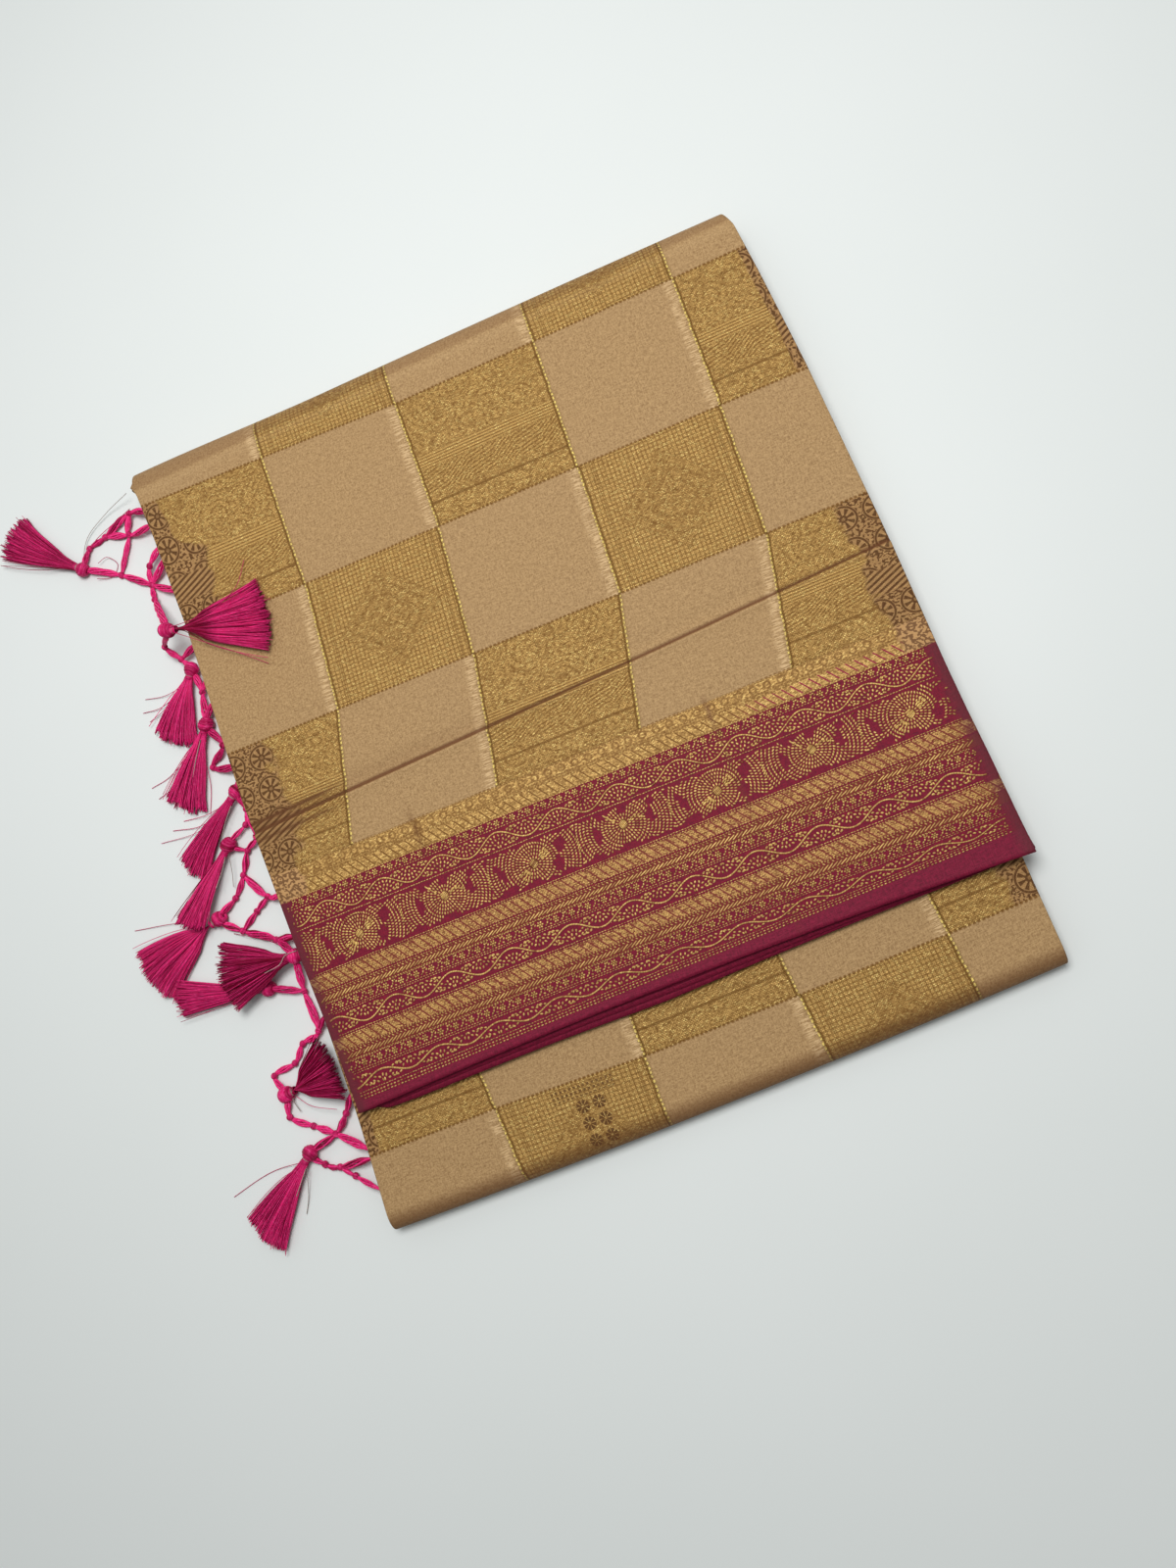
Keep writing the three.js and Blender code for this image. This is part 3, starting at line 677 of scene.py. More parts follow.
def saree_silk():
    """Tan silk with brocade checks, turning into the magenta ground of the border near the free edge."""
    material, tree, shader = new_material("saree silk")
    c = silk_points(tree)
    side_shade, fold = kept_value(tree, "side_fold_shade"), kept_value(tree, "fold")
    field = c.v.step(BAND_END - 0.3, BAND_END + 0.3)
    brocade = ((c.column.floor() + c.row.floor()) * 0.5).fract() * 2 * field
    # where the gold is painted brown near the side folds: painted shade of gold turned away from the light
    patch = (side_shade + noise(tree, c.place, 0.09, 2) * 0.6 - 0.3).step(0.42, 0.54)
    side_leaves = noise(tree, vector(tree, c.x * 0.55, c.v * 0.7, 9.0), 1.0, 1).step(0.45, 0.52)

    # plain weave, streaked along both threads, and brocade
    weave = (c.warp + c.weft) * 0.3 + c.speck * 0.4
    plain = mix(tree, weave.step(0.36, 0.62), TAN_DARK, TAN_LIGHT)
    plain = mix(tree, 0.15 + noise(tree, c.place, 0.03, 3) * 0.3, plain, TAN)
    rich, gold = brocade_cells(tree, c, patch, side_leaves)
    colour = mix(tree, brocade, plain, rich)

    # loose weft ends beside the gold thread on each column line
    tuft = noise(tree, vector(tree, c.x * 0.16, c.v * 1.25, 2.0), 1.0, 2, 0.6)
    frayed = c.across.step(72.5, 76.5) * tuft.step(0.46, 0.58) * (1 - brocade) * field
    colour = mix(tree, frayed * 0.8, colour, FRAYED_AND_HIGHLIGHT)
    glint = noise(tree, c.place, 0.5, 2, 0.7).step(0.42, 0.58)
    sway = noise(tree, vector(tree, 0.0, c.v), 0.16, 2) * 1.4 - 0.7
    to_line = ((c.column + 0.5).fract() - 0.5) * COLUMN_WIDTH + sway
    stitch = (c.v + c.wander * 2).wave(2.3).step(0.1, 0.5)
    thread = to_line.near(0.1, 0.42, 0.35) * stitch * field
    seam = to_line.size().near(1.0, 0.28, 0.4) * (brocade * 0.8 + 0.2) * field
    colour = mix(tree, seam * 0.85, colour, GOLD_SHADE)
    colour = mix(tree, thread * (0.5 + glint * 0.5), colour, THREAD)
    row_line = ((c.row + 0.5).fract() - 0.5) * ROW_HEIGHT
    row_dots = row_line.near(0, 0.4, 0.5) * c.x.wave(2.3).step(0.15, 0.5) * field
    colour = mix(tree, row_dots * 0.85, colour, GOLD_SHADE)

    # the bands below the checks, with painted shade darkening their side edges at the folds
    rope = in_bands(c.v, ROPES)
    band = gold_band(tree, c, patch, side_leaves)
    colour = mix(tree, c.v.step(BAND_END + 0.3, BAND_END - 0.3), colour, band)
    border = c.v.step(BORDER_END + 0.2, BORDER_END - 0.2)
    colour = mix(tree, border, colour, border_ground(tree, c, rope))
    # painted shade where the border turns under at the side folds
    side = side_shade.step(0.72, 0.97) * c.v.step(113, 109)
    colour = mix(tree, side * (0.4 + c.speck * 0.5), colour, EDGE_SHADE)

    # painted shade of the creases and folds, and a painted highlight on the pressed crease's ridge
    colour = mix(tree, (fold.most(0.0) * 0.85).least(0.9), colour, CREASE_SHADE)
    colour = mix(tree, (fold * -1).most(0.0) * 0.5, colour, FRAYED_AND_HIGHLIGHT)
    join(tree, colour, shader.inputs["Base Color"])

    metal = brocade.most(c.v.within(BORDER_END, BAND_END, 0.3)).most(rope) * gold * (1 - patch)
    join(tree, metal * 0.15, shader.inputs["Metallic"])
    join(tree, 0.6 - metal * 0.15 + c.speck * 0.1, shader.inputs["Roughness"])
    shader.inputs["Specular IOR Level"].default_value = 0.22
    floats = c.body * (0.3 + c.own * 0.5) * brocade * 0.6
    add_bump(tree, shader, weave * 0.9 + floats + thread * 0.9 - seam * 0.4, 0.0006, 1.0)
    return material


def end_silk():
    material, tree, shader = new_material("end piece silk")
    x, v = cloth_millimetres(tree)
    warp = noise(tree, vector(tree, x * 2.6, v * 0.22), 1.0, 3)
    weft = noise(tree, vector(tree, x * 0.22, v * 2.6, 5.0), 1.0, 3)
    weave = (warp + weft) * 0.5
    join(tree, mix(tree, weave.step(0.3, 0.7), MAGENTA_DEEP, MAGENTA), shader.inputs["Base Color"])
    shader.inputs["Roughness"].default_value = 0.55
    shader.inputs["Specular IOR Level"].default_value = 0.22
    add_bump(tree, shader, weave, 0.0003, 0.7)
    return material


def zari():
    """Gold floats of the border, each with its own tone, which carries painted shade near the side folds and
    in the soft creases.
    """
    material, tree, shader = new_material("gold zari")
    tone = kept_value(tree, "tone")
    twist = noise(tree, vector(tree, *cloth_millimetres(tree)), 1.6, 2, 0.7)
    colour = mix(tree, tone, srgb(124, 66, 34), srgb(224, 181, 101))
    # painted glints: bright spots along the twisted gold
    colour = mix(tree, twist.step(0.45, 0.65) * tone * 0.6, colour, srgb(252, 226, 152))
    colour = mix(tree, twist.step(0.42, 0.3) * 0.45, colour, srgb(130, 76, 36))
    join(tree, colour, shader.inputs["Base Color"])
    join(tree, 0.55 - twist * 0.2, shader.inputs["Roughness"])
    shader.inputs["Metallic"].default_value = 0.15
    shader.inputs["Specular IOR Level"].default_value = 0.3
    return material


def fringe_silk():
    """Glossy pink thread: each strand has its own tone, with painted highlight streaks along it."""
    material, tree, shader = new_material("fringe silk")
    tone = kept_value(tree, "tone")
    along, round_it = map_numbers(tree, "strand")
    highlight_streak = noise(tree, vector(tree, round_it * 9, along * 0.5), 1.0, 2)
    colour = mix(tree, tone, srgb(122, 0, 38), srgb(236, 32, 118))
    colour = mix(tree, highlight_streak.step(0.46, 0.7) * 0.65 * tone, colour, srgb(252, 112, 176))
    join(tree, colour, shader.inputs["Base Color"])
    join(tree, 0.36 + highlight_streak * 0.15, shader.inputs["Roughness"])
    shader.inputs["Specular IOR Level"].default_value = 0.35
    shader.inputs["Specular Tint"].default_value = srgb(255, 170, 205)
    add_bump(tree, shader, highlight_streak, 0.0002, 0.5)
    return material


def tie_thread():
    material, tree, shader = new_material("tie thread")
    along, round_it = map_numbers(tree, "strand")
    twist = (along * 14 + round_it * 6).wave(1.0)
    colour = mix(tree, twist, srgb(150, 132, 124), srgb(206, 194, 184))
    join(tree, colour, shader.inputs["Base Color"])
    shader.inputs["Roughness"].default_value = 0.6
    add_bump(tree, shader, twist, 0.0002, 0.6)
    return material


def table_top():
    material, tree, shader = new_material("table top")
    place = tree.nodes.new("ShaderNodeTexCoord").outputs["Object"]
    haze = noise(tree, place, 3.0, 3)
    join(tree, mix(tree, haze, srgb(221, 225, 223), srgb(228, 231, 230)), shader.inputs["Base Color"])
    join(tree, 0.36 + haze * 0.08, shader.inputs["Roughness"])
    shader.inputs["Specular IOR Level"].default_value = 0.25
    return material


SILK = saree_silk()
END_SILK = end_silk()
ZARI = zari()
FRINGE = fringe_silk()
TIE = tie_thread()


# The folded cloth

TUCK = 9  # how far the cloth runs back under itself at a side fold
FOLD_RADIUS = 0.65
FOLD_STEPS = 5
CLOTH_THICKNESS, LAYER_THICKNESS, END_THICKNESS = 0.32, 0.2, 0.25


def section(count):
    """Share across, inset and depth of the points from under the left fold to under the right."""
    under = [(0, FOLD_RADIUS + TUCK * share, 2 * FOLD_RADIUS) for share in (1, 0.5)]
    for i in range(FOLD_STEPS, 0, -1):
        turn = math.pi * i / FOLD_STEPS
        under.append((0, FOLD_RADIUS * (1 - math.sin(turn)), FOLD_RADIUS * (1 - math.cos(turn))))
    top = [(s, FOLD_RADIUS * (1 - 2 * s), 0) for s in np.linspace(0, 1, count)]
    mirrored = [(1, -inset, depth) for _, inset, depth in reversed(under)]
    return np.array(under + top + mirrored)


def lay(stations, points):
    """Rows of places, one for each station (stretch, share), over the points of a section."""
    s, inset, depth = points.T
    rows = [stretch(name, s, inset, np.full_like(s, t), depth) for name, t in stations]
    return np.moveaxis(np.array(rows), 1, -1)


def spread_rows(name, count, low=0.0, high=1.0):
    return [(name, t) for t in np.linspace(low, high, count, endpoint=False)]


def columns_at(table, key, x):
    """The count of columns at x, on lines that a table gives by its first number."""
    lines = [read_off(table, key, i) for i in range(1, 5)]
    lines = [lines[0] - 2 * COLUMN_WIDTH, lines[0] - COLUMN_WIDTH, *lines]
    lines += [lines[-1] + COLUMN_WIDTH, lines[-1] + 2 * COLUMN_WIDTH]
    count = np.full(x.shape, -2.0)
    for i in range(len(lines) - 1):
        share = (x - lines[i]) / (lines[i + 1] - lines[i])
        count = np.where(share >= 0, i - 2 + share, count)
    return count


def side_fold_shade(x, y, rows, reach):
    """How dark the gold is painted near the side folds, where it turns away from the light: painted shade, 1
    at the fold.
    """
    left, right = edges_at(rows, y)
    near = np.minimum(x - left, right - x)
    return np.clip(1 - near / reach, 0, 1)


def turned_reach(x, y):
    """How far in from the flap's side folds the gold is painted dark as painted shade, in millimetres."""
    left = 46 - 26 * smooth((y - 42) / 12) - 16 * smooth((-132 - y) / 12)
    right = 9 + 22 * smooth((-40 - y) / 20)
    return np.where(x < 0, left, right)


def cloth_maps(x, length, columns, row_count):
    whole = pairs(x, length) / 1000
    return {"OFBake": spread_map(whole), "checks": pairs(columns, row_count), "cloth": whole}


def pressed_shade(x, y, u):
    """Painted shade along the pressed crease and the soft creases of the flap. The ridge of the crease is
    below 0, a painted highlight.
    """
    off = y - line_y(PRESSED, u)
    strong = 1.2 + 0.3 * smooth((40 - x) / 90)
    soft = 0.2 * bump((off - 4.5) / 4) * smooth((60 - x) / 160)
    crease = strong * bump((off - 0.5) / 1.05) - 0.3 * bump((off + 1.0) / 0.8) + soft
    beside = 0.9 * bump((off - 5.2) / 0.9) + 0.7 * bump((off + 4.6) / 0.9) + 0.25 * bump(off / 7)
    return crease + 0.85 * soft_crease_shade(x, y) + beside * smooth((-118 - x) / 25)


def flap_cloth():
    stations = spread_rows("flap", 78, 0, 0.42) + spread_rows("flap", 30, 0.42, 0.46)
    stations += spread_rows("flap", 84, 0.46, 1) + spread_rows("upper", 22)
    stations += spread_rows("base", 7, 0, SEAM_SHARE) + [("base", SEAM_SHARE)]
    points = section(160)
    rows = lay(stations, points)
    length = run_length(rows)
    x, y = rows[..., 0], rows[..., 1]
    # the map runs on round the side folds, so x counts along the cloth
    spread = run_length(rows, axis=1)
    half = len(points) // 2
    map_x = spread - spread[:, half : half + 1] + x[:, half : half + 1]
    flap_rows = sum(name == "flap" for name, _ in stations)
    w = weave_at(x, y)
    w[flap_rows:] = w[flap_rows - 1] + length[flap_rows:] - length[flap_rows - 1]
    number = np.arange(len(rows))[:, None]
    # painted shade along the creases of the flap; below 0 a painted highlight on the crease's ridge
    shade = pressed_shade(x, y, points[:, 0]) * (number < flap_rows)
    # painted shade on the top fold, with a painted highlight just below its edge; the far side of the fold
    # and the base are painted in full shade
    rim = 0.36 * smooth((y - 88.4) / 1.6) - 0.2 * bump((y - 86) / 2.4)
    shade += np.where(number > flap_rows + 8, 0.36, rim * (y > 60))
    values = {"side_fold_shade": side_fold_shade(x, y, FLAP_EDGES, turned_reach(x, y)), "fold": shade}
    maps = cloth_maps(map_x, w, columns_at(FLAP_COLUMNS, w, map_x), read_off(FLAP_ROWS, w))
    return cloth_piece("flap_cloth", rows, maps, values, SILK, CLOTH_THICKNESS)


def underside_shade(name, t):
    """Painted shade: full on the underside, and growing on the lower fold towards it."""
    return {"base": 0.7, "lower": 0.7 * float(smooth((1.06 - t) / 0.3))}.get(name, 0)


def lower_cloth():
    stations = spread_rows("base", 7, SEAM_SHARE + 0.002, 1) + spread_rows("lower", 18)
    stations += spread_rows("middle", 44, 0, 0.2) + spread_rows("middle", 12, 0.2, 1) + [("middle", 1)]
    rows = lay(stations, section(150))
    length = run_length(rows)
    x, y = rows[..., 0], rows[..., 1]
    # the rows of checks count from the woven line that crosses the cloth near the lower fold
    on_middle = np.array([name == "middle" for name, _ in stations])[:, None]
    above = np.where(on_middle, y - read_off(LOWER_ROW_LINE, x), -1e9)
    first = np.argmax(above > 0, axis=0), np.arange(rows.shape[1])
    row_count = 1 - (length - length[first] + above[first]) / ROW_HEIGHT
    shade = [underside_shade(name, t) for name, t in stations]
    values = {
        # painted shade of the gold near the side folds
        "side_fold_shade": side_fold_shade(x, y, LOWER_EDGES, np.where(x < 0, 13, 24)),
        "fold": np.repeat(shade, rows.shape[1]),
    }
    maps = cloth_maps(x, LOWER_START_V + length, columns_at(LOWER_COLUMNS, y, x), row_count)
    return cloth_piece("lower_cloth", rows, maps, values, SILK, CLOTH_THICKNESS)


LAYER_COUNT = 8
LAYER_TOP, LAYER_BOTTOM = 1.75, 5.0
# How far the hidden layers stand out past the lip, by the share across
LAYER_REACH = {
    1: [(0, -3), (0.02, -3), (0.035, 1.2), (0.3, 2.6), (0.5, 3.6), (0.8, 1.6), (1, -0.5)],
    2: [(0, -3), (0.025, -3), (0.04, 3.2), (0.1, 4.4), (0.3, 5.2), (0.47, 6.6), (0.9, 1.2), (1, -0.8)],
    3: [(0, -4), (0.05, -3), (0.08, 3.4), (0.4, 4.6), (0.6, 4.4), (0.9, 0), (1, -1)],
}
OTHER_REACH = [(0, -2), (0.5, 1), (1, -2)]
# The shares along two of the stretches where the hidden layers have a row of places
FLAP_SHARES = [0, 0.008, 0.02, 0.045, 0.08, 0.14, 0.2, 0.28, 0.36, 0.42, 0.44, 0.46]
FLAP_SHARES += [0.52, 0.62, 0.72, 0.82, 0.92]
MIDDLE_SHARES = [0, 0.03, 0.08, 0.14, 0.2, 0.35, 0.5, 0.65, 0.8, 0.9, 1]


def layer_points():
    """Share across, layer, depth, fold and bulge of the points of the cloth folded to and fro."""
    depths = np.linspace(LAYER_TOP, LAYER_BOTTOM, LAYER_COUNT)
    radius = (depths[1] - depths[0]) / 2
    shares = np.linspace(0, 1, 24)
    points = []
    for layer, depth in enumerate(depths):
        back = layer % 2
        points += [(s, layer, depth, 0, 0) for s in shares[:: 1 - 2 * back]]
        if layer < LAYER_COUNT - 1:
            for turn in (math.pi / 4, math.pi / 2, math.pi * 3 / 4):
                deep = depth + radius * (1 - math.cos(turn))
                points.append((1 - back, layer, deep, 1, radius * math.sin(turn)))
    return np.array(points).T


def folded_layers():
    """The layers that lie inside: one cloth folded to and fro between the two side folds."""
    stations = [("flap", t) for t in FLAP_SHARES]
    stations += spread_rows("upper", 14) + spread_rows("base", 16) + spread_rows("lower", 14)
    stations += [("middle", t) for t in MIDDLE_SHARES]
    s, layer, depth, fold, bulge = layer_points()
    right = s > 0.5
    outward = np.where(right, 1, -1)
    pair = (layer + right) // 2 + 10 * right
    near_edge = np.maximum(0, 1 - np.minimum(s, 1 - s) / 0.06)
    reaches = [read_off(LAYER_REACH.get(index, OTHER_REACH), s) for index in range(LAYER_COUNT)]
    reach = np.choose(layer.astype(int), reaches)
    rows = []
    for k, (name, t) in enumerate(stations):
        key = k * 0.55
        slow = 0.9 * np.sin(1.7 * pair + 0.13 * key * (1 + pair % 3))
        fast = 0.25 * np.sin(3.1 * pair + 1.9 * key)
        inset = outward * (bulge - (0.7 + slow + fast) * near_edge)
        x, y, z = stretch(name, s, inset, np.full_like(s, t), depth)
        if name == "flap":
            fade = smooth(1 - t / 0.05)
            y = y - reach * fade
            z = z - 0.5 * fade * (reach > 0) * (layer > 0)
        rows.append(np.stack([x, y, z], axis=-1))
    rows = np.array(rows)
    length = run_length(rows)
    columns = rows[..., 0] / COLUMN_WIDTH + 5 + layer * 1.37
    maps = cloth_maps(run_length(rows, axis=1), length, columns, 4.7 - length / ROW_HEIGHT)
    # painted shade: full at the layers' fold turns, 0.4 over the rest
    values = {"side_fold_shade": np.tile(0.4 + 0.6 * fold, len(rows))}
    return cloth_piece("folded_layers", rows, maps, values, SILK, LAYER_THICKNESS)


def end_piece_cloth():
    """The magenta end piece between the two lower thirds, in four layers."""
    shares = np.linspace(0, 1, 14)
    points = []
    for layer, level in enumerate((-0.9, -0.3, 0.3, 0.9)):
        back = layer % 2
        points += [(s, level, layer) for s in shares[:: 1 - 2 * back]]
        if layer < 3:
            points.append((1 - back, level + 0.3, layer + 0.5))
    s, level, layer = np.array(points).T
    outward = np.where(s > 0.5, 1, -1)
    start, end = line_y(LOWER_START, s) + 3, line_y(INNER_END, s)
    rows = []
    for share in np.linspace(0, 1, 40):
        y = start + (end - start) * share
        left, right = edges_at(LOWER_EDGES, y)
        peep = 3.0 * bump((y - 78) / 9) - 0.6
        uneven = 0.5 * np.sin(7 * layer + 9 * share) + 0.3 * np.sin(23 * share + 3 * layer)
        inset = outward * np.abs(uneven) * (np.abs(s - 0.5) > 0.45)
        bend = outward * 0.3 * (layer % 1 > 0)
        x = left + 0.4 + (right - left + peep - 0.8) * s - inset + bend
        rows.append(np.stack([x, y, FRINGE_LEVEL + level], axis=-1))
    rows = np.array(rows)
    maps = cloth_maps(rows[..., 0], run_length(rows), 0 * rows[..., 0], 0 * rows[..., 0])
    maps["OFBake"][:, 0] = np.tile(np.arange(len(s)) / len(s), len(rows))
    values = {"side_fold_shade": 0 * rows[..., 0]}
    return cloth_piece("end_piece_cloth", rows, maps, values, END_SILK, END_THICKNESS)


# Gold floats of the border, laid on the flap by x and by W, the distance from the free edge

LENS = np.array([(-0.5, 0), (-0.2, -0.5), (0.25, -0.42), (0.5, 0), (0.25, 0.5), (-0.2, 0.42)])
STROKE = np.array([(-0.5, -0.15), (-0.44, -0.5), (0.44, -0.5), (0.5, 0.15), (0.44, 0.5), (-0.44, 0.5)])
FLOAT_TONE = 0.62
CROWN_SHARE = 0.68  # how wide the top of a float is beside its foot
FLOAT_LIFT = 0.02


class Floats:
    """Gold floats that stand on the flap: each is a lens, or a flat stroke of several threads."""

    def __init__(self):
        self.list = []

    def add(self, x, w, angle=0.0, length=1.7, width=0.9, rise=0.28, shape=LENS):
        turn = angle + rng.normal(0, 0.05)
        along, aside = shape[:, 0] * length, shape[:, 1] * width
        px = x + along * math.cos(turn) - aside * math.sin(turn)
        pw = w + along * math.sin(turn) + aside * math.cos(turn)
        self.list.append((px, pw, rise))

    def piece(self, name):
        px, pw, rise = (np.array(part) for part in zip(*self.list))
        cx, cw = px.mean(axis=1), pw.mean(axis=1)
        left, right = flap_sides(cx, cw)
        kept = (cx > left + 4.0 + 1.3 * np.sin(cw * 1.7)) & (cx < right - 5.6 + 1.4 * np.sin(cw * 1.1))
        px, pw, rise, cx, cw, left, right = (part[kept] for part in (px, pw, rise, cx, cw, left, right))
        outline = np.stack([px, pw], axis=-1)
        centre = np.stack([cx, cw], axis=-1)[:, None, :]
        crown = centre + (outline - centre) * CROWN_SHARE
        whole = np.concatenate([outline, crown], axis=1)
        up = np.where(np.arange(12) >= 6, 1, 0)[None, :] * rise[:, None] + FLOAT_LIFT
        sx, sy, sz = on_flap(whole[..., 0], whole[..., 1])
        points = world(sx, sy, sz + up).reshape(-1, 3)
        faces = []
        for k in range(len(px)):
            base = 12 * k
            faces += [(base + i, base + (i + 1) % 6, base + 6 + (i + 1) % 6, base + 6 + i) for i in range(6)]
            faces.append(tuple(range(base + 6, base + 12)))
            faces.append(tuple(range(base + 5, base - 1, -1)))
        tone = np.clip(FLOAT_TONE + rng.normal(0, 0.2, len(px)), 0, 1)
        # painted shade: floats darker near the side folds and in the soft creases
        shade = smooth(np.minimum(cx - left - 3, right - cx - 4) / 9)
        crease_shade_factor = 1 - 0.7 * soft_crease_shade(cx, weave_y(cx, cw))
        low_band = 0.8 + 0.2 * smooth((cw - 20) / 25)
        tone = (tone * (0.35 + 0.65 * shade) * crease_shade_factor * low_band).repeat(12)
        flat = whole.reshape(-1, 2) / 1000
        maps = {"OFBake": spread_map(flat), "cloth": flat}
        return make(name, points, faces, maps, {"tone": tone}, ZARI)


def weave_y(x, w):
    return WEAVE_LINE + w + weave_turn(w) * x + left_rise(x, w)


def flap_sides(x, w):
    return edges_at(FLAP_EDGES, weave_y(x, w))


def on_flap(x, w):
    """The place on the flap's cloth at x and W."""
    y = weave_y(x, w)
    left, right = flap_sides(x, w)
    u = (x - left) / (right - left)
    lip, crease = line_y(LIP, u), line_y(CREASE, u)
    t = CREASE_SHARE * (y - lip) / (crease - lip)
    return x, y, HEIGHT + flap_height(u, t, x, y)


SPAN = (-176, 186)  # from side to side, a little past the cloth
VINE_PERIOD, BUD_PITCH = 32.5, 8.6


def dotted(floats, w, pitch=1.9, length=1.5, width=0.75):
    for x in np.arange(*SPAN, pitch):
        floats.add(x + rng.normal(0, 0.08), w + rng.normal(0, 0.05), 0.0, length, width)


def chevrons(floats, low, high):
    """Close slanted strokes, with short ones leaning back above them, between dotted lines."""
    for w in (low - 0.3, high + 0.3):
        dotted(floats, w, 1.5, 1.3, 0.6)
    tall = high - low
    for x in np.arange(*SPAN, 2.3):
        floats.add(x, low + 0.38 * tall, 0.53, 5.0, 0.68, 0.24, STROKE)
        floats.add(x + 2.2, low + 0.84 * tall, -0.7, 1.8, 0.7, 0.24)


def ropes(floats, low, high):
    """Slanted bars filled with short floats, with open lines between them."""
    for w in (low - 0.1, high + 0.1):
        dotted(floats, w, 1.5, 1.35, 0.65)
    for row, w in enumerate(np.arange(low + 1.1, high - 0.7, 1.02)):
        for x in np.arange(SPAN[0] + 0.75 * (row % 2), SPAN[1], 1.5):
            share = ((x + w * 0.8) / BAR_PITCH) % 1 - 0.5
            if abs(share) > 0.2:
                floats.add(x, w, -0.3 + rng.normal(0, 0.25), 1.3, 0.7, 0.2)


# Leaves in the corners of a vine's bays: places from the bay's middle, and turns
BAY_LEAVES = ((0.44, 1.0, 0.9), (0.52, 2.3, 1.3), (0.6, 1.2, 0.3), (0.36, 0.6, -0.2))
# Floats of the curl beside each bud
CURL = [
    (2.9, -1.0, 0.5),
    (3.9, -0.1, 1.1),
    (4.3, 1.1, 2.0),
    (5.4, -1.1, -0.4),
    (6.0, 0.4, 0.9),
    (5.3, 1.3, 0.1),
]


def vine(floats, low, high, phase):
    """A winding stem, with a fan of leaves filling each of its bays."""
    middle, reach = (low + high) / 2, (high - low) / 2 - 0.9

    def stem(x):
        return middle + reach * math.sin(2 * math.pi * (x - phase) / VINE_PERIOD)

    for x in np.arange(*SPAN, 1.2):
        slope = math.atan2(stem(x + 0.5) - stem(x - 0.5), 1)
        floats.add(x, stem(x), slope, 2.2 / max(0.55, math.cos(slope)), 0.95, 0.36)
    half = VINE_PERIOD / 2
    for k in range(math.floor((SPAN[0] - phase) / half), math.ceil((SPAN[1] - phase) / half)):
        top = k % 2 != 0
        away = -1 if top else 1
        centre_x, centre_w = phase + (k + 0.5) * half, high if top else low
        for ring in range(6):
            radius = 1.0 + ring * 1.85
            count = max(3, int(math.pi * radius / 1.62))
            for i in range(count + 1):
                turn = math.pi * (i + 0.5 * (ring % 2)) / count
                x = centre_x + radius * 1.2 * math.cos(turn) + rng.normal(0, 0.08)
                w = centre_w + away * (radius * math.sin(turn) - 0.2)
                clear = (w - stem(x)) * (-away)
                if clear > 1.35 and low - 0.1 < w < high + 0.1:
                    lean = math.atan2(away * math.sin(turn), 1.2 * math.cos(turn))
                    floats.add(x, w, lean + (0.35 if i % 2 else -0.35), 1.85, 1.05)
        for side in (-1, 1):
            for dx, dw, turn in BAY_LEAVES:
                x, w = centre_x + side * half * dx, centre_w + away * dw
                if (w - stem(x)) * (-away) > 0.7:
                    floats.add(x, w, side * away * turn, 1.9, 0.95)


def buds(floats, low, high, phase):
    """A row of buds by turns with small curls, between dotted lines."""
    for w in (low - 0.6, high + 0.6):
        dotted(floats, w, 1.6, 1.35, 0.6)
    middle, tall = (low + high) / 2, (high - low) / 3.2
    for x in np.arange(SPAN[0] + phase, SPAN[1], BUD_PITCH):
        for angle in np.arange(0, 6.2, 1.05):
            floats.add(x + 1.2 * math.cos(angle), middle + 1.1 * tall * math.sin(angle), angle, 1.5, 1.0)
        floats.add(x, middle, 0.4, 1.3, 1.0, 0.4)
        for dx, dw, angle in CURL:
            floats.add(x + dx, middle + dw * tall, angle, 1.6, 0.9)


MEDALLION_PERIOD = 98.0
FLOWERS = -138.0  # one round flower; the others follow at the period
BIRDS = -89.0
FLOWER_GAPS = [
    (-18.0, 1.5, 1.5, 4.4, 0.35),
    (15.4, 4.6, 2.4, 2.8, 0.4),
    (12.2, -4.0, 1.7, 3.4, -0.2),
    (-3.2, -9.9, 3.6, 1.5, 0.1),
    (-17.0, -9.2, 5.0, 1.6, 0.2),
    (15.0, -10.0, 3.4, 1.3, 0.0),
    (-24.5, 8.6, 1.6, 1.8, 0.0),
]
BIRD_GAPS = [
    (-14.4, -1.2, 1.6, 3.9, 0.0),
    (-9.4, 8.4, 2.9, 1.8, 0.0),
    (1.6, 8.0, 2.1, 2.3, 0.0),
    (14.6, -0.4, 1.5, 3.2, 0.2),
    (16.4, 6.0, 1.8, 1.5, 0.0),
    (0.5, -10.9, 4.6, 1.3, 0.0),
    (-17.0, -10.9, 3.6, 1.3, 0.0),
]


